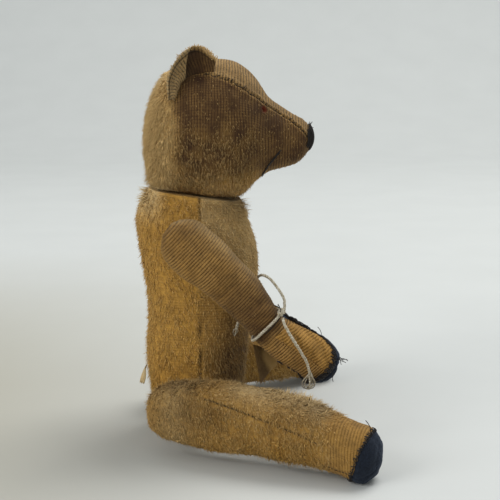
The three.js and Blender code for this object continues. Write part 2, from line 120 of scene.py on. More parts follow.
def along(stations, s):
    """Middle, half height and half width at places s. Between two stations runs the cubic whose slope at
    each station is that of the straight line through its two neighbours."""
    table = np.asarray(stations, float)
    place, values = table[:, 0], table[:, 1:]
    last = len(place) - 1
    before, after = np.maximum(np.arange(last + 1) - 1, 0), np.minimum(np.arange(last + 1) + 1, last)
    slope = (values[after] - values[before]) / (place[after] - place[before])[:, None]
    i = np.clip(np.searchsorted(place, s, side="right") - 1, 0, last - 1)
    h = (place[i + 1] - place[i])[..., None]
    t = np.clip((s[..., None] - place[i][..., None]) / h, 0, 1)
    start, end = values[i] * (1 + 2 * t) * (1 - t) ** 2, values[i + 1] * t * t * (3 - 2 * t)
    return start + end + h * slope[i] * t * (1 - t) ** 2 - h * slope[i + 1] * t * t * (1 - t)


class Form:
    """A stuffed form along a line: |a / height| ^ power + |b / width| ^ power = 1 across it, with each end
    rounded off. A point is origin + s * axes[0] + a * axes[1] + (b + half) * axes[2]."""

    def __init__(self, stations, caps, power, axes, origin=(0, 0, 0), half=0.0, cap_power=2.0):
        self.stations, self.caps, self.power, self.cap_power = stations, caps, power, cap_power
        self.axes, self.origin, self.half = np.array(axes, float), np.array(origin, float), half
        self.low, self.high = stations[0][0], stations[-1][0]
        self.hand = np.sign(np.linalg.det(self.axes))

    def point(self, s, turn, grown=0.0):
        """Surface points at places s and turns round the line, moved out by grown."""
        s, turn = np.broadcast_arrays(np.asarray(s, float), np.asarray(turn, float))

        def cap(depth, length):
            left = np.clip(1 - depth / length, 0, 1)
            return (1 - left**self.cap_power) ** (1 / self.cap_power)

        first, last = self.caps
        end = cap(s - self.low + grown, first + grown) * cap(self.high + grown - s, last + grown)
        middle, height, width = np.moveaxis(along(self.stations, np.clip(s, self.low, self.high)), -1, 0)
        across = [np.sign(f) * np.abs(f) ** (2 / self.power) for f in (np.cos(turn), np.sin(turn))]
        a = middle + end * (height + grown) * across[0]
        b = end * (width + grown) * across[1] + self.half
        return self.world(s, a, b)

    def world(self, s, a, b):
        """Points of the bear's frame from the form's own three lengths."""
        own = np.stack(np.broadcast_arrays(s, a, b), -1)
        return own @ self.axes + self.origin

    def places(self, rows):
        """Places of the rows of a skin, even along the middle and by equal turns of a quarter circle in
        each cap."""
        first, last = self.caps
        length = self.high - self.low - first - last
        shares = np.array([first * 1.3, length, last * 1.3])
        counts = np.maximum((rows * shares / shares.sum()).astype(int), 4)
        quarter = [np.arange(1, n + 1) / n * np.pi / 2 for n in counts]
        start = self.low + first * (1 - np.cos(quarter[0]))
        middle = self.low + first + length * np.arange(1, counts[1]) / counts[1]
        end = self.high - last * (1 - np.cos(quarter[2]))[::-1]
        return np.concatenate([start, middle, end])


def limb_form(side, joint, stations, caps, half, way):
    """A limb's form: it runs down way from its joint, with its upper side square to way and to the
    joint's axis, and the axis pointing out sideways."""
    facts = JOINTS[joint]
    out = unit(np.array(facts["axis"], float))
    out = out * SIDES[side] * np.sign(out[1])
    way = np.array(way(out), float)
    upper = unit(np.cross(way, out)) * SIDES[side]
    return Form(stations, caps, 2.4, [way, upper, out], np.array(facts["pos_m"]) / MM, half)


def arm_form(side):
    """The arm, down the slope of its own side."""
    slope = np.radians(ARM_SLOPES[side])
    way = [np.cos(slope), 0, np.sin(slope)]
    return limb_form(side, f"shoulder_{side}_swing", ARM_STATIONS, (10.8, 9), ARM_HALF, lambda out: way)


def leg_form(side):
    """The leg, level and square to the hip's axis."""
    ahead = -SIDES[side]
    return limb_form(
        side, f"hip_{side}_swing", LEG_STATIONS, (12, 7), LEG_HALF,
        lambda out: [abs(out[1]), ahead * out[0], 0],
    )


BODY_FORM = Form(BODY_STATIONS, (30, 5), 2.4, [[0, 0, 1], [1, 0, 0], [0, 1, 0]], cap_power=2.8)
HEAD_FORM = Form(HEAD_STATIONS, (9, 5), 2.3, [[1, 0, 0], [0, 0, 1], [0, -1, 0]])
ARM_FORMS = {side: arm_form(side) for side in SIDES}
LEG_FORMS = {side: leg_form(side) for side in SIDES}


# ------------------------------------------------------------------- meshes
def grid_faces(rows, columns, closed, first=0):
    """Quads between neighbouring points of a grid whose points are numbered row by row from first, and
    for each quad's corners their row and their column, counted on past the last column where the grid is
    closed."""
    r, c = np.meshgrid(np.arange(rows - 1), np.arange(columns if closed else columns - 1), indexing="ij")
    r, c = r.ravel()[:, None], c.ravel()[:, None]
    row, column = r + np.array([0, 0, 1, 1]), c + np.array([0, 1, 1, 0])
    return first + row * columns + column % columns, row, column


def mesh_object(name, points, faces, finish, uv=None, marks=None, smooth=True):
    """A mesh object at the origin from points in millimetres and a list of arrays of faces, each with as
    many numbers a row as the face has corners. uv is a list that matches faces, and marks holds one
    number a point."""
    mesh = bpy.data.meshes.new(name)
    points = np.asarray(points, float).reshape(-1, 3) * MM
    corners = np.concatenate([f.ravel() for f in faces])
    sizes = np.concatenate([np.full(len(f), f.shape[1]) for f in faces])
    mesh.vertices.add(len(points))
    mesh.vertices.foreach_set("co", points.ravel())
    mesh.loops.add(len(corners))
    mesh.loops.foreach_set("vertex_index", corners.astype(np.int32))
    mesh.polygons.add(len(sizes))
    mesh.polygons.foreach_set("loop_start", (np.cumsum(sizes) - sizes).astype(np.int32))
    if uv is not None:
        layer = mesh.uv_layers.new(name="weave")
        places = np.concatenate([u.reshape(-1, 2) for u in uv])
        layer.data.foreach_set("uv", places.astype(np.float32).ravel())
    for mark, values in (marks or {}).items():
        layer = mesh.attributes.new(mark, "FLOAT", "POINT")
        layer.data.foreach_set("value", np.asarray(values, np.float32).ravel())
    mesh.update(calc_edges=True)
    mesh.validate()
    mesh.polygons.foreach_set("use_smooth", np.full(len(mesh.polygons), smooth))
    mesh.materials.append(finish)
    made = bpy.data.objects.new(name, mesh)
    bpy.context.scene.collection.objects.link(made)
    return made


def place_piece(made, body, slot, *nodes):
    """Says which body a piece rides on and hides the CAD nodes that it stands for. slot is not used."""
    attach(made, body)
    if nodes:
        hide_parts(*nodes)
    return made


class Skin:
    """A form's finished surface: points in rows along it and columns round it, and one point at each end."""

    def __init__(self, form, rows, columns, lift=None, shape=None):
        self.form = form
        self.s = form.places(rows)
        self.turn = np.arange(columns) / columns * 2 * np.pi
        self.grid = np.meshgrid(self.s, self.turn, indexing="ij")
        self.points = form.point(*self.grid)
        if lift is not None:
            self.points = self.points + self.facing() * lift(*self.grid, self.points)[..., None]
        self.ends = np.array([self.points[0].mean(0), self.points[-1].mean(0)])
        if shape is not None:
            self.points, self.ends = shape(self.points), shape(self.ends)
        self.out = self.facing()
        self.ahead = unit(np.gradient(self.points, axis=0))

    def facing(self):
        """The outward direction at each point: the way round crossed with the way ahead."""
        ahead = np.gradient(self.points, axis=0)
        around = np.roll(self.points, -1, axis=1) - np.roll(self.points, 1, axis=1)
        return unit(np.cross(around, ahead)) * self.form.hand

    def at(self, s, turn, lift=0.0):
        """Points, outward directions and ways ahead at any places and turns, between the grid's own."""
        s, turn = np.broadcast_arrays(np.asarray(s, float), np.asarray(turn, float))
        row = np.interp(s, self.s, np.arange(len(self.s)))
        column = (turn / (2 * np.pi) * len(self.turn)) % len(self.turn)
        r = np.minimum(row.astype(int), len(self.s) - 2)
        c = column.astype(int) % len(self.turn)
        f, g = (row - r)[..., None], (column - np.floor(column))[..., None]

        def between(values):
            near = values[r, c] * (1 - g) + values[r, (c + 1) % len(self.turn)] * g
            far = values[r + 1, c] * (1 - g) + values[r + 1, (c + 1) % len(self.turn)] * g
            return near * (1 - f) + far * f

        out, ahead = unit(between(self.out)), unit(between(self.ahead))
        return between(self.points) + out * np.asarray(lift)[..., None], out, ahead

    def mesh(self, name, finish, phase, spacing, marks):
        """The closed mesh. Its UV map counts threads round the form and ribs along it."""
        rows, columns = len(self.s), len(self.turn)
        quads, row, column = grid_faces(rows, columns, True)
        first, last = rows * columns, rows * columns + 1
        c = np.arange(columns)
        near = np.stack([np.full(columns, first), (c + 1) % columns, c], 1)
        last_row = (rows - 1) * columns
        far = np.stack([last_row + c, last_row + (c + 1) % columns, np.full(columns, last)], 1)
        threads = 2 * np.pi / columns / spacing
        uv = [
            np.stack([column * threads, phase[row, column % columns]], -1),
            np.stack([np.stack([c, c + 1, c], 1) * threads, np.repeat(phase[0][:, None], 3, 1)], -1),
            np.stack([np.stack([c, c + 1, c], 1) * threads, np.repeat(phase[-1][:, None], 3, 1)], -1),
        ]
        faces = [quads, near, far]
        if self.form.hand < 0:
            faces, uv = [f[:, ::-1] for f in faces], [u[:, ::-1] for u in uv]
        values = {
            mark: np.concatenate([v.ravel(), [v[0].mean(), v[-1].mean()]])
            for mark, v in marks(*self.grid, self.points).items()
        }
        points = np.concatenate([self.points.reshape(-1, 3), self.ends])
        return mesh_object(name, points, faces, finish, uv, values)


def tubes(paths, radii, sides=6, swell=None):
    """Closed round threads, one for each path of points: a ring round each point, of that radius along
    two directions square to the path, and a point on each end. swell multiplies the radius ring by ring
    and side by side."""
    paths = np.asarray(paths, float)
    count, steps, _ = paths.shape
    tangent = unit(np.gradient(paths, axis=1))
    mean = unit(tangent.mean(1) + 1e-6)
    helper = np.where(np.abs(mean[:, 2:]) < 0.8, [[0.0, 0.0, 1.0]], [[1.0, 0.0, 0.0]])[:, None, :]
    side = unit(np.cross(tangent, helper))
    up = np.cross(tangent, side)
    turn = np.arange(sides) / sides * 2 * np.pi
    radii = np.broadcast_to(np.asarray(radii, float), (count, steps))[..., None, None]
    if swell is not None:
        radii = radii * swell[..., None]
    ring = side[:, :, None] * np.cos(turn)[:, None] + up[:, :, None] * np.sin(turn)[:, None]
    rings = paths[:, :, None] + radii * ring
    size = steps * sides + 2
    points = np.concatenate([rings.reshape(count, -1, 3), paths[:, :1], paths[:, -1:]], 1)
    quads, _, _ = grid_faces(steps, sides, True)
    c = np.arange(sides)
    near = np.stack([np.full(sides, size - 2), (c + 1) % sides, c], 1)
    last = (steps - 1) * sides
    far = np.stack([last + c, last + (c + 1) % sides, np.full(sides, size - 1)], 1)
    shift = (np.arange(count) * size)[:, None, None]
    return points.reshape(-1, 3), [(f[None] + shift).reshape(-1, f.shape[1]) for f in (quads, near, far)]


def joined(parts):
    """Several (points, faces) made one."""
    points, faces, start = [], [], 0
    for own, own_faces in parts:
        points.append(own.reshape(-1, 3))
        faces += [f + start for f in own_faces]
        start += len(points[-1])
    return np.concatenate(points), faces


def spline(points, count):
    """Points spaced evenly along the Catmull-Rom curve through the given ones."""
    p = np.asarray(points, float)
    p = np.concatenate([[2 * p[0] - p[1]], p, [2 * p[-1] - p[-2]]])
    t = np.linspace(0, len(p) - 3, 40 * len(p))
    i = np.minimum(t.astype(int), len(p) - 4)
    f = (t - i)[:, None]
    a, b, c, d = p[i], p[i + 1], p[i + 2], p[i + 3]
    curve = 0.5 * (2 * b + (c - a) * f + (2 * a - 5 * b + 4 * c - d) * f**2 + (3 * b - a - 3 * c + d) * f**3)
    far = np.concatenate([[0], np.cumsum(np.linalg.norm(np.diff(curve, axis=0), axis=1))])
    even = np.linspace(0, far[-1], count)
    return np.stack([np.interp(even, far, curve[:, k]) for k in range(3)], 1)


ROOT_DEPTH = 0.06
HAIR_FACES = np.array([[0, 1, 2], [1, 0, 3], [2, 1, 3], [0, 2, 3]])


def spikes(roots, out, way, length, width, rise, bend):
    """Hairs as closed three-sided spikes, three points at the root and one at the tip. Each starts a
    little under the cloth and leaves it along way + rise * out, and its tip is turned aside by bend
    halfway."""
    way = unit(way + out * rise[:, None])
    across = unit(np.cross(out, way))
    w = width[:, None]
    corner = np.stack([across * w, -across * w, out * w], 1)
    middle = roots + way * (length * 0.55)[:, None]
    tip = middle + unit(way + bend) * (length * 0.45)[:, None]
    base = (roots - out * ROOT_DEPTH)[:, None] + corner
    return np.concatenate([base, tip[:, None]], 1)


def pile_object(name, skin, count, look, seed, marks, keep):
    """The pile on a skin: count hairs whose roots fall by chance, in proportion to area times density.
    look gives, for roots at s, turn and p, a dictionary of their density, comb direction, length, width,
    rise and stray. Each hair is as gold, grimy and pale as marks says that the cloth under it is. keep
    moves points back to their own side of the floor or the neck."""
    draw = np.random.default_rng(seed)
    middle_s, middle_turn = [0.5 * (g[:-1] + g[1:]) for g in skin.grid]
    middle_points = 0.5 * (skin.points[:-1] + skin.points[1:])
    ahead = skin.points[1:] - skin.points[:-1]
    around = (np.roll(skin.points, -1, axis=1) - skin.points)[:-1]
    area = np.linalg.norm(np.cross(ahead, around), axis=-1)
    weight = (area * np.maximum(look(middle_s, middle_turn, middle_points)["density"], 0)).ravel()
    cell = draw.choice(weight.size, count, p=weight / weight.sum())
    r, c = np.divmod(cell, len(skin.turn))
    s = skin.s[r] + (skin.s[r + 1] - skin.s[r]) * draw.random(count)
    turn = skin.turn[c] + draw.random(count) * skin.turn[1]
    roots, out, _ = skin.at(s, turn)
    facts = look(s, turn, roots)
    way = facts["comb"] - out * (facts["comb"] * out).sum(-1, keepdims=True)
    stray = draw.normal(size=(count, 3)) * facts["stray"][:, None]
    clump = np.stack([lumps(roots, 3.2, seed + k) for k in range(3)], -1) * 0.35
    length = facts["length"] * draw.uniform(0.6, 1.25, count)
    rise = facts["rise"] * draw.uniform(0.3, 1.7, count)
    bend = draw.normal(size=(count, 3)) * 0.35 - out * 0.25
    width = facts["width"] * (0.7 + 2.6 * draw.random(count) ** 4)
    points = keep(spikes(roots, out, unit(way) + stray + clump, length, width, rise, bend))
    cloth = marks(s, turn, roots)
    own = {mark: np.repeat(cloth[mark], 4) for mark in ("gold", "grime", "pale")}
    own["tip"] = np.tile([0, 0, 0, 1], count)
    own["tint"] = np.repeat(draw.random(count) ** 1.3, 4)
    faces = (HAIR_FACES[None] + (np.arange(count) * 4)[:, None, None]).reshape(-1, 3)
    return mesh_object(name, points, [faces], finish("mohair_pile"), None, own)


def cap_shell(skin, edge, columns, rows, thickness, lift, jag, shape=None):
    """A fitted patch over the far end of a form, from the place edge(turn) to the end point, as a thin
    closed shell. Rows run to the end by the sine of equal steps. lift is how proud the patch stands."""
    turn = np.arange(columns) / columns * 2 * np.pi
    start = edge(turn) + jag(turn)
    end = skin.form.high
    q = np.sin(np.linspace(0, 1, rows + 1)[:-1, None] * np.pi / 2)
    s = start + (end - start) * q
    turn = np.broadcast_to(turn, s.shape)
    points, out, _ = skin.at(np.minimum(s, skin.s[-1]), turn)
    rounding = np.sqrt(np.clip(np.linspace(0, 6, rows), 0, 1))[:, None]
    top = points + out * (lift(s, turn, points) + thickness * (rounding - 0.6))[..., None]
    under = points + out * (lift(s, turn, points) - thickness)[..., None]
    way = unit(skin.form.axes[0])
    poles = np.array([top[-1].mean(0), under[-1].mean(0)]) + way * 0.03
    if shape is not None:
        top, under, poles = shape(top), shape(under), shape(poles)
    size, last_row = rows * columns, (rows - 1) * columns
    quads, _, _ = grid_faces(rows, columns, True)
    c = np.arange(columns)
    b = (c + 1) % columns
    rim = np.stack([c + size, b + size, b, c], 1)
    far = np.stack([last_row + c, last_row + b, np.full(columns, 2 * size)], 1)
    inner = np.stack([size + last_row + b, size + last_row + c, np.full(columns, 2 * size + 1)], 1)
    faces = [quads, quads[:, ::-1] + size, rim, far, inner]
    if skin.form.hand < 0:
        faces = [f[:, ::-1] for f in faces]
    return np.concatenate([top.reshape(-1, 3), under.reshape(-1, 3), poles]), faces


def leaf_shell(middle, across, thick, edge_power=4):
    """A thin closed leaf: its middle surface on a grid, with half of thick laid each way along across,
    thinned to a round edge. Returns points and faces."""
    rows, columns, _ = middle.shape
    v, u = np.meshgrid(np.linspace(-1, 1, rows), np.linspace(-1, 1, columns), indexing="ij")
    full = ((1 - np.abs(u) ** edge_power) * (1 - np.abs(v) ** edge_power)) ** 0.5
    offset = across * (np.broadcast_to(thick, full.shape) / 2 * full)[..., None]
    size = rows * columns
    quads, _, _ = grid_faces(rows, columns, False)
    points = np.concatenate([(middle + offset).reshape(-1, 3), (middle - offset).reshape(-1, 3)])
    return points, [quads, quads[:, ::-1] + size]


def welded(made, distance=0.02):
    """Joins the points of a piece that lie together, so that its edges close."""
    shape = bmesh.new()
    shape.from_mesh(made.data)
    bmesh.ops.remove_doubles(shape, verts=shape.verts, dist=distance * MM)
    bmesh.ops.recalc_face_normals(shape, faces=shape.faces)
    shape.to_mesh(made.data)
    shape.free()
    return made


# ------------------------------------------------------------------- materials
class Value:
    """A shader socket. An operator on it adds the Math node that works it out."""

    def __init__(self, finish, socket):
        self.finish, self.socket = finish, socket

    def math(self, operation, *others, flipped=False):
        values = [self, *others][::-1] if flipped else [self, *others]
        return self.finish.node("Math", {"operation": operation}, dict(enumerate(values)))

    def __add__(self, other):
        return self.math("ADD", other)

    def __sub__(self, other):
        return self.math("SUBTRACT", other)

    def __mul__(self, other):
        return self.math("MULTIPLY", other)

    def __pow__(self, other):
        return self.math("POWER", other)

    def __rsub__(self, other):
        return self.math("SUBTRACT", other, flipped=True)

    __radd__, __rmul__ = __add__, __mul__


class Finish:
    """One procedural material, built node by node."""

    def __init__(self, name, roughness=0.92, sheen=0.0, sheen_tint=(1, 1, 1), metallic=0.0, specular=0.3):
        self.material = bpy.data.materials.new(name)
        self.material.use_nodes = True
        self.tree = self.material.node_tree
        self.shader = self.tree.nodes["Principled BSDF"]
        for socket, value in {
            "Roughness": roughness, "Sheen Weight": sheen, "Sheen Roughness": 0.5,
            "Sheen Tint": (*sheen_tint, 1), "Metallic": metallic, "Specular IOR Level": specular,
        }.items():
            self.shader.inputs[socket].default_value = value

    def node(self, kind, settings, inputs, output=0):
        """Any node: its type, its settings, which are set first, the values or links of its sockets, and
        which output to give back."""
        made = self.tree.nodes.new("ShaderNode" + kind)
        for name, value in settings.items():
            setattr(made, name, value)
        for name, value in inputs.items():
            if isinstance(value, Value):
                self.tree.links.new(value.socket, made.inputs[name])
            else:
                made.inputs[name].default_value = value
        return Value(self, made.outputs[output])

    def mark(self, name):
        """A number kept on the mesh's points."""
        return self.node("Attribute", {"attribute_name": name}, {}, "Fac")

    def noise(self, size, detail=3.0, seed=0.0, stretch=(1, 1, 1)):
        """Noise about size millimetres across, on the piece's own coordinates."""
        place = self.node("TexCoord", {}, {}, "Object")
        moved = self.node(
            "Mapping", {}, {"Vector": place, "Location": (seed, seed * 0.7, 0), "Scale": stretch})
        return self.node("TexNoise", {}, {"Vector": moved, "Scale": 1 / (size * MM), "Detail": detail})

    def mix(self, share, low, high, blend="MIX"):
        """The colour low, turned to high by share."""
        low, high = [c if isinstance(c, Value) else (*c, 1) for c in (low, high)]
        return self.node("Mix", {"data_type": "RGBA", "blend_type": blend}, {0: share, 6: low, 7: high}, 2)

    def weave(self):
        """How far across a thread and how far along a rib, from the UV map."""
        place = self.node("UVMap", {"uv_map": "weave"}, {})
        return [self.node("SeparateXYZ", {}, {0: place}, k) for k in (0, 1)]

    def span(self, value, low, high):
        """0 where value is at low, 1 where it is at high."""
        return self.node("MapRange", {}, {0: value, 1: low, 2: high})

    def done(self, colour, height=None, strength=0.5, distance=0.1, roughness=None):
        """Feeds the shader, with a bump of the given height in millimetres, and gives the material back."""
        if isinstance(colour, Value):
            self.tree.links.new(colour.socket, self.shader.inputs["Base Color"])
        else:
            self.shader.inputs["Base Color"].default_value = (*colour, 1)
        if height is not None:
            bump = self.node("Bump", {}, {"Height": height, "Strength": strength, "Distance": distance * MM})
            self.tree.links.new(bump.socket, self.shader.inputs["Normal"])
        if roughness is not None:
            self.tree.links.new(roughness.socket, self.shader.inputs["Roughness"])
        return self.material


def rgb(red, green, blue):
    """A colour from screen values of 0 to 255, made linear."""
    c = np.array([red, green, blue]) / 255
    return tuple(float(x) for x in np.where(c <= 0.04045, c / 12.92, ((c + 0.055) / 1.055) ** 2.4))


def colours():
    return bpy.context.scene.bear_colours


def sizes():
    return bpy.context.scene.bear_sizes


def cloth_finish(name):
    """Threadbare mohair backing: raised ribs and cross threads where it is bare, felted gold where pile is left,
    brown soiling with painted shade, and painted highlights. It reads the marks pile, gold, grime, pale, seam and
    rust."""
    f, c = Finish(name, 0.95, 0.12, (0.8, 0.65, 0.4)), colours()
    threads, ribs = f.weave()
    rib = (ribs * np.pi).math("SINE").math("ABSOLUTE")
    thread = (threads * np.pi).math("SINE").math("ABSOLUTE")
    speck, wear, broken = f.noise(0.5, 3, 3), f.noise(5, 4), f.noise(2.2, 3)
    weave = rib ** 0.8 * (thread * 0.5 + 0.5)
    share = f.span(weave * 0.75 + speck * 0.9 + broken * 0.45 + wear * 0.25, 0.92, 1.34)
    bare = f.mix(share, tuple(c.groove), tuple(c.ridge))
    streak = f.noise(0.8, 4, 5, (1, 1, 0.35))
    felted = f.mix(f.span(streak * 0.7 + broken * 0.5, 0.32, 0.84), tuple(c.gold_dark), tuple(c.gold))
    colour = f.mix(f.mark("pile") * 0.9, bare, felted)
    amber = f.mix(f.span(streak * 0.7 + broken * 0.5, 0.36, 0.8), tuple(c.gold_dark), tuple(c.amber))
    colour = f.mix(f.mark("gold") * 0.6, colour, amber)
    colour = f.mix(f.span(wear, 0.45, 0.75) * 0.4, colour, tuple(c.groove))
    # The mark pale brings in the fluff colour: faded pile, and a painted highlight on the upper sides of the arms
    # and legs and on the ears' rolled-over bands.
    colour = f.mix(f.mark("pale") * f.span(speck, 0.25, 0.6), colour, tuple(c.fluff_and_highlight))
    # The mark grime brings in the grime colour: soiling, and painted shade on the side of the head, at the throat
    # and in the ears' hollows.
    colour = f.mix(f.mark("grime") * (wear * 0.6 + 0.6), colour, tuple(c.grime))
    # The mark seam brings in the crevice colour: painted shade in the grooves of the seams, in the wrist's crease
    # and in the ears' hollows.
    colour = f.mix(f.mark("seam"), colour, tuple(c.seam_shade))
    colour = f.mix(f.mark("rust"), colour, tuple(c.rust))
    return f.done(colour, weave * 0.7 + speck * 0.6 + streak * 0.5, 0.8, 0.16)


def pile_finish(name):
    """Worn mohair hairs, darker at the root, each its own shade. It reads the marks tip, tint, gold,
    grime and pale."""
    f, c = Finish(name, 0.7, 0.15, (0.9, 0.75, 0.5)), colours()
    colour = f.mix(f.mark("gold"), tuple(c.straw_hair), tuple(c.gold_hair))
    # The marks pale and grime carry the cloth's fade and soiling onto the hairs, along with its painted highlights
    # and painted shade.
    colour = f.mix(f.mark("pale"), colour, tuple(c.fluff_and_highlight))
    colour = f.mix(f.mark("grime") * 0.6, colour, tuple(c.grime))
    shade = f.mix(1.0, colour, (0.56, 0.48, 0.36), "MULTIPLY")
    return f.done(f.mix(f.mark("tip") * 0.55 + f.mark("tint") * 0.75 + 0.02, shade, colour))


def felt_finish(name):
    """Worn navy felt, with paler lint and rubbed, shiny-dull patches."""
    f, c = Finish(name, 0.96, 0.15, (0.3, 0.4, 0.6)), colours()
    lint, blotch = f.noise(0.35, 4), f.noise(4, 3, 2)
    colour = f.mix(f.span(lint, 0.4, 0.75), tuple(c.felt), tuple(c.felt_lint))
    colour = f.mix(f.span(blotch, 0.5, 0.8) * 0.35, colour, (0.0, 0.0, 0.0))
    return f.done(colour, lint, 0.6, 0.15)


def thread_finish(name, colour, light):
    """Thread and string, with lighter lint."""
    f = Finish(name, 0.8, 0.1)
    lint = f.noise(0.5, 3)
    return f.done(f.mix(f.span(lint, 0.35, 0.75), tuple(colour), tuple(light)), lint, 0.5, 0.1)


def mottled_finish(name, dark, light, size, roughness=0.9, metallic=0.0, stretch=(1, 1, 1)):
    """A plain mottled surface with a fine grain: card, steel and straw."""
    f = Finish(name, roughness, metallic=metallic)
    grain, spread = f.noise(size * 0.2, 4, 1, stretch), f.noise(size, 3, 0, stretch)
    colour = f.mix(f.span(grain * 0.5 + spread * 0.5, 0.35, 0.65), tuple(dark), tuple(light))
    return f.done(colour, grain, 0.4, 0.1)


def card_finish(name):
    """Plain card, with painted shade over the part that curls away. It reads the mark tint."""
    f, c = Finish(name, 0.85), colours()
    grain = f.noise(1.5, 4)
    # Where the mark tint is low, the card is painted in shade with the tag_shade colour.
    share = f.mark("tint") * 0.9 + f.span(grain, 0.3, 0.7) * 0.2
    return f.done(f.mix(share, tuple(c.tag_shade), tuple(c.tag)), grain, 0.5, 0.05)


FINISHES = {}


def finish(name):
    """The named finish, made the first time that it is asked for."""
    c = colours()
    makers = {
        "mohair_cloth": cloth_finish,
        "mohair_pile": pile_finish,
        "navy_felt": felt_finish,
        "black_thread": lambda n: thread_finish(n, c.thread, c.thread_light),
        "white_cotton": lambda n: thread_finish(n, c.cotton_dark, c.cotton),
        "tag_card": card_finish,
        "straw_filling": lambda n: mottled_finish(n, c.gold_dark, c.straw_hair, 2, 0.9, 0, (1, 1, 0.2)),
        "joint_card": lambda n: mottled_finish(n, c.groove, c.ridge, 3),
        "joint_steel": lambda n: mottled_finish(n, (0.12, 0.09, 0.07), (0.45, 0.43, 0.41), 2, 0.45, 0.9),
    }
    if name not in FINISHES:
        FINISHES[name] = makers[name](name)
    return FINISHES[name]


# ------------------------------------------------------------------- the head
# The seam of the crown's long middle panel: how far forward, and degrees down from the top.
PANEL_SEAM = np.array([
    (-19, 26), (-12, 31), (0, 36), (7, 40), (16, 49), (21, 53), (26, 48), (31, 39), (36, 41), (40, 57),
    (43.5, 85),
], float)
EYE = {"x": 26.1, "turn": np.radians(59), "radius": 0.75}
MOUTH = [(32.7, 1.28), (30.6, 1.06), (28.6, 0.82), (26.8, 0.55), (25.6, 0.28), (25.2, 0)]
NOSE = {"top": 4.9, "foot": -4.9, "half": 6.0, "height": 7.4, "cap": 5.0, "middle": 119.2}


def wrapped(turn):
    """The turn as -pi to pi."""
    return (turn + np.pi) % (2 * np.pi) - np.pi


def past_panel(s, turn):
    """Roughly how many millimetres a place on the head lies below the middle panel's seam."""
    seam = np.radians(np.interp(s, PANEL_SEAM[:, 0], PANEL_SEAM[:, 1]))
    height = along(HEAD_STATIONS, s)[..., 1]
    return (np.abs(wrapped(turn)) - seam) * height * 0.85


def eye_distance(p):
    """How far points lie from the nearer eye's place."""
    eyes = HEAD_FORM.point(EYE["x"], np.array([1, -1]) * EYE["turn"])
    return np.min([np.linalg.norm(p - eye, axis=-1) for eye in eyes], axis=0)


def head_marks(s, turn, p):
    """Where the head keeps its pile, where it is gold, pale or rusty, and where it is darker: painted shade down
    the side of the head below the panel, darker along the panel towards the nose and in each eye hole.
    """
    x, _, z = np.moveaxis(p, -1, 0)
    uneven = lumps(p, 7, 41)
    behind = ramp(x + uneven * 2, -5, -12)
    low = (0.45 + 0.55 * ramp(z, 112, 101)) * ramp(z + uneven * 3, 126, 119) * (1 - 0.9 * ramp(x, 18, 29))
    past = past_panel(s, turn)
    panel = ramp(past, 0.5, -1)
    pile = np.clip(np.maximum(behind * ramp(z, 152, 138), low), 0, 1) * (1 - panel * (1 - behind))
    cheek = ramp(past, 0, 2) * ramp(x, -12, -3)
    eye = eye_distance(p)
    chin = (np.pi - np.abs(wrapped(turn))) * 9
    return {
        "pile": pile,
        "gold": 0.25 * behind * (1 - panel),
        # grime: painted shade on the side of the head below the panel, darker along the panel towards the nose,
        # and dark in each eye hole.
        "grime": np.clip(
            cheek * (0.9 + 0.2 * uneven) * (1 - 0.7 * ramp(z - 98 - 0.14 * x, 9, 1))
            + 0.42 * panel * ramp(x, -6, 22) + bump_at(eye, 0, 0.8), 0, 1),
        "pale": np.clip(0.12 * panel + 0.35 * behind + bump_at(z - 97 - 0.14 * x, 2, 3) * behind, 0, 1),
        # seam: painted shade along the panel's seam groove and under the chin's seam.
        "seam": np.clip(0.75 * bump_at(past, 0, 0.35) * ramp(x, -6, 0) + 0.6 * bump_at(chin, 0, 0.4), 0, 1),
        "rust": bump_at(eye, 0.8, 0.5) * np.clip(0.7 + 0.5 * lumps(p, 1.2, 42), 0, 1),
    }


def rib_phase(s, turn, p, seed):
    """How many ribs along the form a place lies, wavering a little."""
    return (s + 0.3 * lumps(p, 12, seed)) / sizes().rib_pitch


def ribs(phase):
    """Rounded ribs with narrow grooves, from -1 in a groove to 0 on a rib."""
    return np.abs(np.sin(np.pi * phase)) ** 0.7 - 1


def head_lift(s, turn, p):
    """Ribs where the head is bare, lumps of straw, a groove along each seam and a hole where each eye
    was."""
    marks = head_marks(s, turn, p)
    side = ramp(past_panel(s, turn), -0.3, 0.8)
    rib = ribs(rib_phase(s, turn, p, 5)) * sizes().rib_height * 0.7
    rib = rib * (1 - 0.7 * marks["pile"]) * (0.2 + 0.8 * side)
    seam = past_panel(s, turn)
    seam_line = -0.7 * bump_at(seam, 0.1, 0.4) + (0.42 + 0.15 * lumps(p, 2, 43)) * bump_at(seam, -0.9, 0.6)
    seam_line = seam_line + 0.2 * bump_at(seam, 1.3, 0.7) - 0.75 * ramp(s, 40.5, 44)
    x, _, z = np.moveaxis(p, -1, 0)
    above = z - NECK["z"] - NECK["gap"] + x * np.tan(NECK["lean"])
    tuck = -1.0 * ramp(above, 2.8, 0) * ramp(x, 5, 13)
    chin = (np.pi - np.abs(wrapped(turn))) * 9
    chin_line = (-0.45 * bump_at(chin, 0, 0.5) + 0.18 * bump_at(chin, 1.2, 0.8)) * ramp(s, 2, 8)
    eye = eye_distance(p)
    hole = -1.35 * bump_at(eye, 0, EYE["radius"]) + 0.28 * bump_at(eye, 1.5, 0.6)
    return rib + 0.32 * lumps(p, 13, 1) + 0.14 * lumps(p, 5, 2) + seam_line + chin_line + hole + tuck


def above_neck(points):
    """Keeps points on the head's side of the neck's plane."""
    floor_z = NECK["z"] + NECK["gap"] - points[..., 0] * np.tan(NECK["lean"])
    return np.stack([points[..., 0], points[..., 1], np.maximum(points[..., 2], floor_z)], -1)


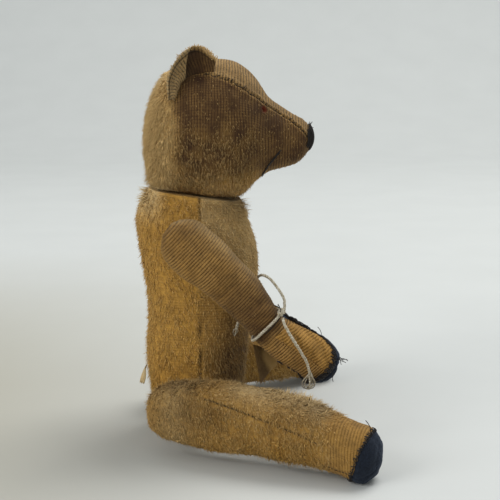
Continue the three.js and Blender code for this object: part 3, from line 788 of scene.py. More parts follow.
def head_pile_look(s, turn, p):
    """The head's pile is combed down, short on the cheeks and longer at the nape and the throat."""
    marks = head_marks(s, turn, p)
    x, z = p[..., 0], p[..., 2]
    above = z - (NECK["z"] + NECK["gap"]) + x * np.tan(NECK["lean"])
    nape = ramp(above, 10, 1) * ramp(x, -6, -14)
    full = np.maximum(ramp(x, -5, -14), ramp(above, 12, 2))
    density = 0.06 + marks["pile"] * (0.42 + 0.58 * full)
    density = density * ramp(above, 0.2, 1.0)
    density = density * (1 - 0.7 * ramp(past_panel(s, turn), 1, -1) * ramp(x, -12, -4))
    comb = np.zeros(p.shape) + [0.1, 0, -1.0]
    comb[..., 0] += 0.35 * lumps(p, 9, 61) - 0.3 * ramp(x, 5, 25)
    return {
        "density": density * (0.7 + 0.3 * ramp(lumps(p, 4, 62), -0.6, 0.6)),
        "comb": comb,
        "length": (1.1 + 1.5 * marks["pile"] + 2.2 * nape) * sizes().pile_length,
        "width": 0.085 + 0.06 * marks["pile"],
        "rise": 0.36 + 0.5 * nape + 0.55 * ramp(x, -10, -19),
        "stray": 0.13 + 0.3 * nape,
    }


def stitch_paths(skin, s, turn, leg, lift=0.1, steps=6, bow=0.35):
    """Short stitches on a skin: from each (s, turn), by leg = (along, round in mm), bowing up off the
    cloth."""
    t = np.linspace(0, 1, steps)
    step_s = s[:, None] + leg[0][:, None] * t
    step_turn = turn[:, None] + (leg[1] / 9.0)[:, None] * t
    rise = lift + bow * np.sin(np.pi * t)
    return skin.at(step_s, step_turn, np.broadcast_to(rise, step_s.shape))[0]


def thread_piece(name, parts, body, *nodes, finish_name="black_thread", slot="black_thread"):
    """One piece from several lots of threads."""
    points, faces = joined(parts)
    return place_piece(mesh_object(name, points, faces, finish(finish_name)), body, slot, *nodes)


def make_head():
    """The head's cloth and its pile."""
    skin = Skin(HEAD_FORM, 236, 168, head_lift, above_neck)
    phase = rib_phase(*skin.grid, skin.points, 5)
    cloth = skin.mesh("head_cloth", finish("mohair_cloth"), phase, 2 * np.pi / 150, head_marks)
    place_piece(cloth, "head", "bare_cloth", "head_cover")
    pile = pile_object("head_pile", skin, HAIRS["head"], head_pile_look, 7, head_marks, above_neck)
    place_piece(pile, "head", "gold_mohair")
    return skin


def nose_points(a, b, lift):
    """Points on the round front of the muzzle at height a and sideways b: the end's own rounding, solved for
    the place along."""
    reach = (np.abs(a / NOSE["height"]) ** 2.3 + np.abs(b / NOSE["height"]) ** 2.3) ** (1 / 2.3)
    s = HEAD_FORM.high - NOSE["cap"] * (1 - np.sqrt(1 - np.clip(reach, 0, 0.985) ** 2)) + lift
    return HEAD_FORM.world(s, NOSE["middle"] + a, b)


def make_face(skin):
    """The worn nose, the mouth's long stitch, the seam stitches under the chin and the stray hairs."""
    draw = np.random.default_rng(21)
    sideways = np.linspace(-NOSE["half"], NOSE["half"], 23)
    t = np.linspace(0, 1, 12)
    top = NOSE["top"] - 0.07 * sideways**2 + draw.normal(0, 0.35, sideways.size)
    foot = NOSE["foot"] + 0.05 * sideways**2 + draw.normal(0, 0.4, sideways.size)
    a = foot[:, None] + (top - foot)[:, None] * t
    b = sideways[:, None] + 0.25 * np.sin(3 * t + sideways[:, None])
    nose = nose_points(a, b, -0.5 + 0.35 * np.sin(np.pi * t) + draw.normal(0, 0.12, (sideways.size, 1)))
    ends = nose[::3, -1]
    way = draw.normal([0.6, 0, 0.6], 0.7, (len(ends), 1, 3))
    fray = ends[:, None] + np.linspace(0, 1, 5)[:, None] * way
    thread_piece("nose_threads", [tubes(nose, 0.33), tubes(fray, 0.1, 5)], "head", "nose_stitching")

    half = np.array(MOUTH)
    line = np.concatenate([half, (half * [1, -1])[-2::-1]])
    route = spline(np.column_stack([line, np.zeros(len(line))]), 60)
    mouth = skin.at(route[:, 0], np.pi - route[:, 1], 0.25)[0]
    second = skin.at(route[4:-6, 0] + 0.45, np.pi - route[4:-6, 1], 0.2)[0]
    lots = [tubes(mouth[None], 0.26), tubes(second[None], 0.2)]
    thread_piece("mouth_threads", lots, "head", "mouth_stitching")

    places = np.arange(6, 43, 1.15)
    ways = draw.uniform(-1, 1, (2, places.size))
    chin = stitch_paths(skin, places, np.pi - 0.05 * ways[0], (0.5 * ways[1], 1.1 + 0.5 * ways[0]), 0.0)
    panel_s = np.arange(-4, 42, 1.25)
    lots = [tubes(chin, 0.2)]
    for way in (1, -1):
        seam = way * np.radians(np.interp(panel_s, PANEL_SEAM[:, 0], PANEL_SEAM[:, 1]))
        reach = (0.9 + 0.3 * draw.normal(size=panel_s.size), way * draw.normal(0.2, 0.35, panel_s.size))
        lots.append(tubes(stitch_paths(skin, panel_s, seam, reach, -0.1, bow=0.3), 0.14, 5))
    thread_piece("head_seam_threads", lots, "head")


# ------------------------------------------------------------------- the ears
EAR_BASE = [
    [-7.5, 18.3, 134.4], [-6.3, 17.6, 138.4], [-4, 15.2, 142.9], [1.5, 13.9, 145.4], [7.2, 13.3, 145.6],
]
EAR_RIM = [[-9.9, 19.2, 134.2], [-10, 20, 142.5], [-5.5, 20, 150.4], [1, 18.6, 154.1], [8, 15.4, 148.6]]
EAR = {"thick": 1.5, "cup": 2.6, "sewn_in": 2.4, "inward": np.array([-0.3, -0.95, 0])}


def ear_middle(u, v):
    """The left ear's middle surface: straight from its sewn edge at v = 0 to its rim at v = 1, cupped
    inward by the sine of both. Near the sewn edge it turns in, by the square of how near, until it is
    inside the head."""
    count = 200
    place, steps = u * (count - 1), np.arange(count)
    base, rim = [
        np.stack([np.interp(place, steps, line[:, k]) for k in range(3)], -1)
        for line in (spline(EAR_BASE, count), spline(EAR_RIM, count))
    ]
    cup = EAR["cup"] * np.sin(np.pi * v) * np.sin(np.pi * u)
    height = base[..., 2] - along(HEAD_STATIONS, base[..., 0])[..., 0]
    inside = -unit(np.stack([0 * height, base[..., 1], height], -1))
    sewn_in = EAR["sewn_in"] * np.clip(1 - v / 0.25, 0, 1) ** 2
    return base + (rim - base) * v[..., None] + EAR["inward"] * cup[..., None] + inside * sewn_in[..., None]


def ear_band(u, v):
    """1 on the rolled-over rear part of the ear and 0 in its hollow. The fold between them leaves the
    sewn edge low down and climbs to the rim near the top."""
    fold = 1.1 * ramp(u, 0.47, 0.7) + 0.03 * np.sin(u * 40)
    return ramp(v, fold - 0.05, fold + 0.08)


def make_ears():
    """Both ears: doubled cloth, ribbed, its rear half rolled over, worn through at the rim, with painted shade in
    the hollow and a painted highlight on the rolled-over band."""
    rows, columns = 52, 90
    v, u = np.meshgrid(np.linspace(0, 1, rows), np.linspace(0, 1, columns), indexing="ij")
    middle, band = ear_middle(u, v), ear_band(u, v)
    phase = (u * 24 + 1.5 * v) / sizes().rib_pitch
    rim_seam = bump_at(v, 0.8, 0.04)
    roll = 1.5 * band * (0.55 + 0.45 * np.sin(np.pi * np.clip(v, 0, 1))) * ramp(u, 0.0, 0.12)
    dip = -0.5 * (1 - band) * np.sin(np.pi * v) * ramp(u, 0.35, 0.6)
    face = roll + dip - 0.45 * rim_seam + 0.2 * lumps(middle, 4, 71) + ribs(phase) * sizes().rib_height * 0.9
    for side, sign in SIDES.items():
        flip = np.array([1, sign, 1])
        inward = unit(EAR["inward"] * flip)
        full = ((1 - np.abs(2 * u - 1) ** 6) * (1 - np.abs(2 * v - 1) ** 6)) ** 0.5
        front = middle * flip - inward * ((EAR["thick"] / 2 + face) * full)[..., None]
        back = middle * flip + inward * ((EAR["thick"] / 2 + 0.15 * lumps(middle, 3, 72)) * full)[..., None]
        quads, row, column = grid_faces(rows, columns, False)
        points = np.concatenate([front.reshape(-1, 3), back.reshape(-1, 3)])
        # hollow: where the ear's hollow is painted in shade.
        hollow = (1 - band) * ramp(v + 0.05 * lumps(middle, 1.5, 76), 0.9, 0.72)
        # dirt: soiling all over, and painted shade deep in the hollow.
        dirt_and_shade = np.clip(0.32 + 0.7 * hollow * (1 - 0.3 * ramp(u, 0.7, 1)) + 0.15 * lumps(middle, 3, 75), 0, 1)
        # worn: a painted highlight on the rolled-over band, and wear at the rim.
        worn = 0.25 * band + 0.3 * bump_at(v, 1, 0.06)
        # dark: the rim seam's line, and painted shade deep in the hollow.
        dark = np.clip(0.8 * rim_seam + 0.55 * hollow * ramp(u, 0.85, 0.5), 0, 1)
        marks = {
            "pile": np.zeros(2 * u.size), "gold": np.zeros(2 * u.size), "rust": np.zeros(2 * u.size),
            "grime": np.concatenate([dirt_and_shade.ravel(), np.full(u.size, 0.25)]),
            "pale": np.concatenate([worn.ravel(), np.full(u.size, 0.15)]),
            "seam": np.concatenate([dark.ravel(), np.zeros(u.size)]),
        }
        uv = np.stack([row * 0.68, phase[row, column]], -1)
        faces = [quads, quads[:, ::-1] + u.size]
        cloth, uvs = finish("mohair_cloth"), [uv, uv[:, ::-1]]
        made = mesh_object(f"ear_cloth_{side}", points, faces, cloth, uvs, marks)
        place_piece(welded(made), "head", "bare_cloth", f"ear_{side}")
        draw = np.random.default_rng(31 + sign)
        where = draw.beta(3.2, 1.3, 260)
        roots = ear_middle(where, np.full(260, 0.98)) * flip
        rim_in = ear_middle(where, np.full(260, 0.8)) * flip
        way = unit(roots - rim_in) + draw.normal(0, 0.7, (260, 3))
        t = np.linspace(0, 1, 4)[:, None]
        fray = roots[:, None] + way[:, None] * t * draw.uniform(0.2, 0.75, (260, 1, 1))
        points, fray_faces = tubes(fray, 0.1, 4)
        marks = fixed_marks(len(points), grime=0.35)
        made = mesh_object(f"ear_fray_{side}", points, fray_faces, finish("mohair_pile"), None, marks)
        place_piece(made, "head", "bare_cloth")


def fixed_marks(count, gold=0.2, grime=0.15, pale=0.3, tip=0.6, tint=0.3):
    """The pile's marks at one value each."""
    values = {"gold": gold, "grime": grime, "pale": pale, "tip": tip, "tint": tint}
    return {name: np.full(count, value) for name, value in values.items()}


# ------------------------------------------------------------------- the body
def body_marks(s, turn, p):
    """The back is golden, the front panel greyer with painted shade at the throat under the head and grime low
    down, and the bottom amber."""
    x, y, z = np.moveaxis(p, -1, 0)
    uneven = lumps(p, 8, 51)
    back = ramp(x + uneven * 0.5, 2.4, 0.6)
    front = 1 - back
    bare = bump_at(z, 50, 11) * front
    worn = ramp(lumps(p, 13, 58), 0.1, 0.9) * back
    return {
        "pile": np.clip(0.94 - 0.14 * front - 0.35 * bare - 0.35 * worn + 0.1 * uneven, 0, 1),
        "gold": np.clip(
            0.5 * back + 0.05 * front + 0.55 * ramp(z, 40, 14) * ramp(x, 6, -6) + 0.2 * bare, 0, 1),
        # grime: painted shade at the throat under the head, and soiling low on the front panel.
        "grime": np.clip(
            0.5 * front * bump_at(z, 97, 5) * ramp(x, 6, 14) + 0.9 * ramp(z, 70, 22) * ramp(x, 1, 14)
            + 0.16 * front + 0.1 * uneven, 0, 1),
        "pale": np.clip(
            0.6 * back * ramp(z, 84, 97) * ramp(x, -10, -18) + 0.3 * front * ramp(z, 60, 72), 0, 1),
        # seam: painted shade in the side seams' grooves.
        "seam": 0.8 * bump_at(x, SIDE_SEAM, 0.28) * (np.abs(y) > 8) * ramp(z, 2, 8),
        "rust": 0 * x,
    }


def body_lift(s, turn, p):
    """Lumps of straw under the cloth, faint ribs on the front panel, and grooved seams down the middle
    and the sides."""
    x, y, z = np.moveaxis(p, -1, 0)
    marks = body_marks(s, turn, p)
    rib = ribs(rib_phase(s, turn, p, 6)) * sizes().rib_height * (1 - marks["pile"])
    flank = np.abs(y) > 8
    side = bump_at(x, SIDE_SEAM, 0.4) * flank
    middle = bump_at(y, 0, 0.6) * ramp(z, 3, 10)
    lips = (0.3 + 0.1 * lumps(p, 3, 54)) * bump_at(np.abs(x - SIDE_SEAM), 1.2, 0.7) * flank
    folds = 0.25 * lumps(p * [1, 1, 0.45], 9, 53)
    return rib + 0.45 * lumps(p, 20, 52) + folds - 0.65 * side - 0.4 * middle + lips - 0.4


def body_shape(points):
    """Keeps points between the flat spot that the bear sits on and the neck's plane."""
    top = NECK["z"] - 0.15 - points[..., 0] * np.tan(NECK["lean"])
    return np.stack([points[..., 0], points[..., 1], np.clip(points[..., 2], 0.02, top)], -1)


def body_pile_look(s, turn, p):
    """The body's pile lies down and matted, longest at the nape, the throat and low on the sides."""
    x, y, z = np.moveaxis(p, -1, 0)
    marks = body_marks(s, turn, p)
    top = NECK["z"] - x * np.tan(NECK["lean"]) - z
    nape = ramp(top, 8, 1)
    flat = 1 - 0.75 * ramp(np.abs(y), 13, 17) * ramp(z, 36, 28) * bump_at(x, -3, 13)  # where the legs swing
    comb = np.zeros(p.shape) + [0, 0, -1.0]
    comb[..., 0] += 0.5 * lumps(p, 11, 63) + 0.15
    comb[..., 1] += 0.4 * lumps(p, 9, 64)
    return {
        "density": (0.1 + marks["pile"] * (0.55 + 0.45 * ramp(x, -4, 6)) + ramp(z, 36, 10))
        * ramp(z, 0.4, 2) * ramp(top, 0.3, 1) * (1 - 0.8 * bump_at(x, SIDE_SEAM, 0.5)),
        "comb": comb,
        "length": (
            1.3 + 0.9 * marks["pile"] + 1.8 * nape * (0.4 + ramp(np.abs(x), 8, 16)) + 1.0 * ramp(z, 45, 20))
        * sizes().pile_length * (0.4 + 0.6 * flat),
        "width": 0.07 + 0.05 * marks["pile"],
        "rise": (0.3 + 0.45 * nape + 0.5 * ramp(x, -15, -21)) * flat,
        "stray": (0.2 + 0.35 * nape) * (0.5 + 0.5 * flat),
    }


def make_body():
    """The body's cloth, its pile, its seam stitches and the torn scrap behind."""
    skin = Skin(BODY_FORM, 200, 150, body_lift, body_shape)
    phase = rib_phase(*skin.grid, skin.points, 6)
    cloth = skin.mesh("body_cloth", finish("mohair_cloth"), phase, 2 * np.pi / 170, body_marks)
    place_piece(cloth, "body", "gold_mohair", "body_cover")
    pile = pile_object("body_pile", skin, HAIRS["body"], body_pile_look, 9, body_marks, body_shape)
    place_piece(pile, "body", "gold_mohair")
    draw = np.random.default_rng(22)
    z = np.arange(8, 95, 1.7)
    lots = []
    for side in (1, -1):
        middle, height, _ = np.moveaxis(along(BODY_STATIONS, z), -1, 0)
        turn = side * np.arccos(np.clip((SIDE_SEAM - middle) / height, 0, 1) ** 1.2)
        reach = (0.7 + 0.3 * draw.normal(size=z.size), draw.normal(0, 0.25, z.size))
        lots.append(tubes(stitch_paths(skin, z, turn, reach, -0.2, bow=0.25), 0.1, 5))
    thread_piece("body_seam_threads", lots, "body")
    v, u = np.meshgrid(np.linspace(0, 1, 24), np.linspace(0, 1, 20), indexing="ij")
    torn = 0.35 * np.sin(u * 23) * ramp(v, 0.6, 1)
    across = (u - 0.5) * 8 * (1 - 0.6 * v)
    scrap = np.stack([
        -21.5 - 1.7 * v - 0.2 * np.sin(5 * u + 2 * v) - 0.75 * across * np.sin(1.1 * v),
        across * np.cos(1.1 * v), 26.2 - 7.4 * v + torn], -1)
    points, faces = leaf_shell(scrap, np.array([-1, 0, 0.2]), 0.55)
    marks = {"pile": np.full(len(points), 0.4), "gold": np.full(len(points), 0.2)}
    marks |= {"grime": np.full(len(points), 0.1), "pale": np.full(len(points), 0.75)}
    _, row, column = grid_faces(24, 20, False)
    uv = np.stack([column * 0.5, row * 0.35], -1)
    made = mesh_object("torn_scrap", points, faces, finish("mohair_cloth"), [uv, uv[:, ::-1]], marks)
    place_piece(welded(made), "body", "gold_mohair", "back_scrap")


# ------------------------------------------------------------------- the arms and paws
# Where the felt of a paw begins, by degrees round the arm from its upper side, outward positive.
FELT_EDGE = np.array([
    (-180, 68), (-135, 62), (-90, 51), (-45, 48.5), (-10, 48.5), (4, 53), (16, 61), (35, 67), (60, 69.6),
    (90, 70.3), (115, 69.5), (140, 68), (180, 68),
], float)


def arm_marks(s, turn, p):
    """The arms are bare to the ribs, darker towards the wrist, and paler along the upper side by a painted
    highlight.
    """
    uneven = lumps(p, 9, 55)
    around = wrapped(turn)
    below = bump_at(np.abs(around), np.pi, 0.8)
    return {
        "pile": np.clip(0.06 + 0.1 * uneven + 0.3 * below * ramp(s, 30, 5), 0, 1),
        "gold": np.clip(0.18 + 0.2 * below + 0.15 * uneven, 0, 1),
        "grime": np.clip(
            0.24 + 0.6 * ramp(s, 6, 40) * ramp(s, 47, 43) + 0.16 * uneven + 0.15 * ramp(s, 4, -8), 0, 1),
        # pale: a painted highlight along the arm's upper side.
        "pale": np.clip(0.25 * bump_at(around, 0.15, 0.6) * ramp(s, 42, 20), 0, 1),
        # seam: painted shade in the underside seam's groove and in the crease at the wrist.
        "seam": 0.7 * bump_at((np.pi - np.abs(around)) * 8.5, 0, 0.35) * ramp(s, 2, 8)
        + 0.5 * bump_at(s, WRIST, 0.5),
        "rust": 0 * s,
    }


def arm_lift(s, turn, p):
    """Strong ribs round the arm, lumps, a soft crease at the elbow and the waist that the string pulls
    in."""
    rib = ribs(rib_phase(s, turn, p, 8)) * sizes().rib_height * 2.2
    around = wrapped(turn)
    crease = bump_at(around, 2.1, 0.7) * (0.35 * bump_at(s, 24.5, 1.8) - 0.5 * bump_at(s, 21.5, 1.3))
    slant = s + 3.5 * (around - 1.5)
    crease = crease + bump_at(around, 1.5, 0.9) * (
        0.3 * bump_at(slant, 35, 1.6) - 0.35 * bump_at(slant, 32, 1.2) - 0.3 * bump_at(slant, 7, 1.0))
    seam = -0.35 * bump_at((np.pi - np.abs(around)) * 8.5, 0, 0.5) * ramp(s, 0, 8)
    cap = 0.16 * np.sin(np.arctan2(np.sin(turn), np.cos(turn)) * 2 + s * 0.9) * ramp(s, 0, -6)
    wrist = -0.45 * bump_at(s, WRIST, 1.3)
    under_felt = -0.95 * ramp(s, 50, 64)
    return rib + 0.28 * lumps(p, 11, 56) + 0.12 * lumps(p, 4, 57) + crease + seam + cap + wrist + under_felt


def paw_edge(turn):
    """Where the felt begins at a turn round the arm."""
    return np.interp(np.degrees(wrapped(turn)), FELT_EDGE[:, 0], FELT_EDGE[:, 1])


def jag_of(size, seed):
    """A cut edge's small unevenness, round a form."""
    draw = np.random.default_rng(seed)
    waves, phase = np.array([5, 11, 23, 37, 53]), draw.uniform(0, 2 * np.pi, 5)
    heights = draw.uniform(0.4, 1, 5)
    return lambda turn: size * (np.sin(turn[..., None] * waves + phase) * heights).sum(-1) / 2


def make_arm(side):
    """One arm with its bare ribbed cloth, its fuzz, and its seam stitches."""
    form = ARM_FORMS[side]
    skin = Skin(form, int(330 * FINENESS[side]), int(92 * FINENESS[side]), arm_lift)
    phase = rib_phase(*skin.grid, skin.points, 8)
    cloth = skin.mesh(f"arm_cloth_{side}", finish("mohair_cloth"), phase, 2 * np.pi / 96, arm_marks)
    place_piece(cloth, f"arm_{side}", "bare_cloth", f"arm_{side}_cover")

    def look(s, turn, p):
        below = bump_at(np.abs(wrapped(turn)), np.pi, 0.9)
        return {
            "density": (0.25 + below + 0.5 * ramp(s, 4, -6)) * ramp(s, 60, 40)
            * (0.6 + 0.4 * lumps(p, 6, 65)),
            "comb": np.zeros(p.shape) + form.axes[0]
            + 0.6 * np.stack([lumps(p, 7, k) for k in (66, 67, 68)], -1),
            "length": 0.75 + 0.3 * below,
            "width": 0.05 + 0 * s,
            "rise": 0.25 + 0.15 * below,
            "stray": 0.35 + 0 * s,
        }

    pile = pile_object(f"arm_fuzz_{side}", skin, HAIRS["arm"], look, 11, arm_marks, above_floor)
    place_piece(pile, f"arm_{side}", "bare_cloth")
    draw = np.random.default_rng(24)
    s = np.arange(6, 62, 2.1)
    reach = (1.1 + 0.3 * draw.normal(size=s.size), draw.normal(0, 0.2, s.size))
    seam = stitch_paths(skin, s, np.full(s.size, np.pi), reach, -0.15, bow=0.25)
    hand = draw.uniform(52, 62, 9)
    reach = (draw.normal(0.8, 0.5, 9), draw.normal(1.2, 0.4, 9))
    over = stitch_paths(skin, hand, np.full(9, np.pi - 0.5), reach, 0.05)
    thread_piece(f"arm_seam_threads_{side}", [tubes(seam, 0.1, 5), tubes(over, 0.17)], f"arm_{side}")
    make_paw(side, skin)
    return skin


def flat_marks(count, pile=0.0, gold=0.0, grime=0.0, pale=0.0, rust=0.0):
    """The cloth's marks at one value each."""
    values = {"pile": pile, "gold": gold, "grime": grime, "pale": pale, "rust": rust}
    return {name: np.full(count, value, float) for name, value in values.items()}


def patch(skin, s, turn, lift, thick):
    """A thin closed patch on a skin over a grid of places and turns, rounded off at its edges."""
    top, out, _ = skin.at(s, turn, lift)
    points, faces = leaf_shell(top + out * (thick / 2)[..., None], out, thick * 0 + thick, 8)
    return points, faces if skin.form.hand > 0 else [f[:, ::-1] for f in faces]


def make_paw(side, skin):
    """The cloth pad on the upper outer side of the hand, the felt over its tip and inner side, and the black
    stitches that hold both."""
    form, body = skin.form, f"arm_{side}"
    draw = np.random.default_rng(25)
    rows, columns = 104, 50
    v, u = np.meshgrid(np.linspace(0, 1, rows), np.linspace(0, 1, columns), indexing="ij")
    turn = np.radians(8 + 82 * u)
    tip = paw_edge(turn) + 1.0
    start = 45.6 + 0.7 * np.sin(3 * u) + 2.0 * (1 - u) ** 3
    s = start + (tip - start) * v
    place = form.point(s, turn)
    rib = ribs((s * 0.9 + 7.2 * u * 0.35) / sizes().rib_pitch) * sizes().rib_height * 1.3
    edge_round = np.minimum(1, 6 * np.minimum.reduce([u, 1 - u, v * 2, (1 - v) * 2]))
    lift = 0.12 + 0.5 * edge_round + rib + 0.12 * lumps(place, 5, 73)
    points, faces = patch(skin, s, turn, lift, np.full(s.shape, 0.5))
    marks = flat_marks(len(points), pile=0.05, gold=0.45, grime=0.06)
    _, row, column = grid_faces(rows, columns, False)
    phase = (s * 0.9 + 7.2 * u * 0.35) / sizes().rib_pitch
    uv = np.stack([column * 0.58, phase[row, column]], -1)
    pad = mesh_object(f"pad_cloth_{side}", points, faces, finish("mohair_cloth"), [uv, uv[:, ::-1]], marks)
    place_piece(welded(pad), body, "bare_cloth", f"paw_pad_{side}")

    def felt_lift(s, turn, p):
        return 0.35 + 0.22 * lumps(p, 4, 74) + 0.1 * lumps(p, 1.4, 75)

    points, faces = cap_shell(skin, paw_edge, 100, 36, 0.55, felt_lift, jag_of(0.45, 3))
    felt = mesh_object(f"paw_felt_piece_{side}", points, faces, finish("navy_felt"))
    place_piece(felt, body, "navy_felt", f"paw_felt_{side}")

    # Blanket stitches: legs across the felt's edge into the pad, and a cord of loops along the edge itself.
    turns = np.radians(np.concatenate([np.arange(-178, 0, 9), np.arange(0, 178, 5.0)]))
    turns = turns + draw.normal(0, 0.03, turns.size)
    edge = paw_edge(turns)
    leg = -(1.6 + 1.0 * draw.random(turns.size) + 1.3 * bump_at(wrapped(turns), 0.5, 0.5))
    legs = stitch_paths(skin, edge + 0.5, turns, (leg, 0.5 * draw.normal(size=turns.size)), 1.1, bow=0.3)
    reach = (leg * 0.7, draw.normal(size=turns.size))
    second = stitch_paths(skin, edge - 0.2, turns + 0.05, reach, 1.15, bow=0.35)
    around = np.linspace(-np.pi, np.pi, 300)
    rise = 0.75 + 0.3 * np.sin(around * 53)
    roll = skin.at(paw_edge(around) + 0.35 * np.sin(around * 41), around, rise)[0]
    rise = 0.6 + 0.2 * np.sin(around * 31)
    inner = skin.at(paw_edge(around) - 0.5 + 0.5 * np.sin(around * 29), around, rise)[0]
    lots = [tubes(legs, 0.25), tubes(second, 0.2), tubes(roll[None], 0.35), tubes(inner[None], 0.27)]
    lots.append(loose_threads(skin, draw))
    thread_piece(f"paw_stitches_{side}", lots, body)


def loose_threads(skin, draw):
    """The thread ends that stand off the edge of the paw: a small fan at the tip and one that hangs."""
    form = skin.form
    t = np.linspace(0, 1, 9)[:, None]
    root = skin.at(np.full(5, 69.5), np.radians([30, 26, 34, 42, 24]), 0.9)[0]
    away = form.axes[0] + form.axes[1] * draw.normal(0.5, 0.5, (5, 1))
    away = away + form.axes[2] * draw.normal(0.4, 0.5, (5, 1))
    fan = root[:, None] + unit(away)[:, None] * t * draw.uniform(2.6, 4.2, (5, 1, 1))
    fan = fan + 0.35 * np.sin(4 * t + draw.uniform(0, 6, (5, 1, 1))) * form.axes[1]
    start = skin.at(69.0, np.radians(75.0), 0.9)[0]
    hang = start + t * np.array([1.6, 0, -5.6]) + np.sin(5 * t) * np.array([0.5, 0.4, 0.0])
    return tubes(np.concatenate([fan, hang[None]]), 0.13, 5)


# ------------------------------------------------------------------- the legs
def leg_marks(s, turn, p):
    """The legs keep a pale matted pile as far as the shin, lit by a painted highlight along the top, and are bare
    cloth at the foot.
    """
    uneven = lumps(p, 9, 58)
    around = wrapped(turn)
    top = bump_at(around, 0, 0.75)
    yellow = bump_at(s, 44, 4) * bump_at(around, 2.0, 0.4)
    return {
        "pile": np.clip(np.maximum(ramp(s + 2 * uneven, 66, 58) * (1 - 0.6 * yellow), 0.4), 0, 1),
        # seam: painted shade in the outer seam's groove.
        "seam": 0.85 * bump_at(seam_miss(s, around), 0, 0.28) * ramp(s, 12, 16) * ramp(s, 58, 52),
        "gold": np.clip(
            0.3 + 0.3 * uneven + 0.6 * yellow - 0.2 * top + 0.25 * bump_at(around, 2.6, 0.6), 0, 1),
        "grime": np.clip(
            0.3 + 0.35 * bump_at(s, 57, 5) * top + 0.3 * ramp(s, 18, 6) * top + 0.12 * uneven
            + 0.35 * bump_at(s, 14, 13) * bump_at(around, 1.3, 0.5), 0, 1),
        # pale: a painted highlight along the top of the leg, and paler at the hip end.
        "pale": np.clip(0.6 * top * ramp(s, 15, 30) * ramp(s, 64, 57) + 0.3 * bump_at(s, 2, 8), 0, 1),
        "rust": 0 * s,
    }


def leg_lift(s, turn, p):
    """Lumps of straw, fine ribs at the bare foot, and the grooved seams along the outer side and the
    foot."""
    marks = leg_marks(s, turn, p)
    rib = ribs(rib_phase(s, turn, p, 9)) * sizes().rib_height * (1 - 0.7 * marks["pile"])
    around = wrapped(turn)
    miss = seam_miss(s, around)
    seam = -0.5 * bump_at(miss, 0, 0.5) + 0.2 * bump_at(np.abs(miss), 1.4, 0.8)
    seam = seam * ramp(s, 12, 16) * ramp(s, 58, 52)
    foot = -0.35 * bump_at((around - 2.2) * 9.5, 0, 0.45) * ramp(s, 58, 62)
    return rib + 0.45 * lumps(p, 17, 59) + 0.2 * lumps(p, 6, 60) + seam + foot


def seam_turn(s):
    """How far round the leg from its top the outer seam lies."""
    return np.interp(s, [10, 22, 36, 50, 60], [0.75, 1.0, 1.25, 1.42, 1.5])


def seam_miss(s, around):
    """Roughly how many millimetres a place lies from the outer seam."""
    return (around - seam_turn(s)) * 10.5


def above_floor(points):
    """Keeps points just off the floor."""
    return np.stack([points[..., 0], points[..., 1], np.maximum(points[..., 2], 0.06)], -1)


def sole_edge(turn):
    """Where the sole's slanting seam plane cuts the leg, worked out in three rounds from the section
    there."""
    s = np.full(np.shape(turn), SOLE["u"], float)
    for _ in range(3):
        middle, height, _ = np.moveaxis(along(LEG_STATIONS, s), -1, 0)
        v = middle + height * np.sign(np.cos(turn)) * np.abs(np.cos(turn)) ** (2 / 2.4)
        s = SOLE["u"] + (v - SOLE["v"]) * np.tan(SOLE["lean"])
    return s


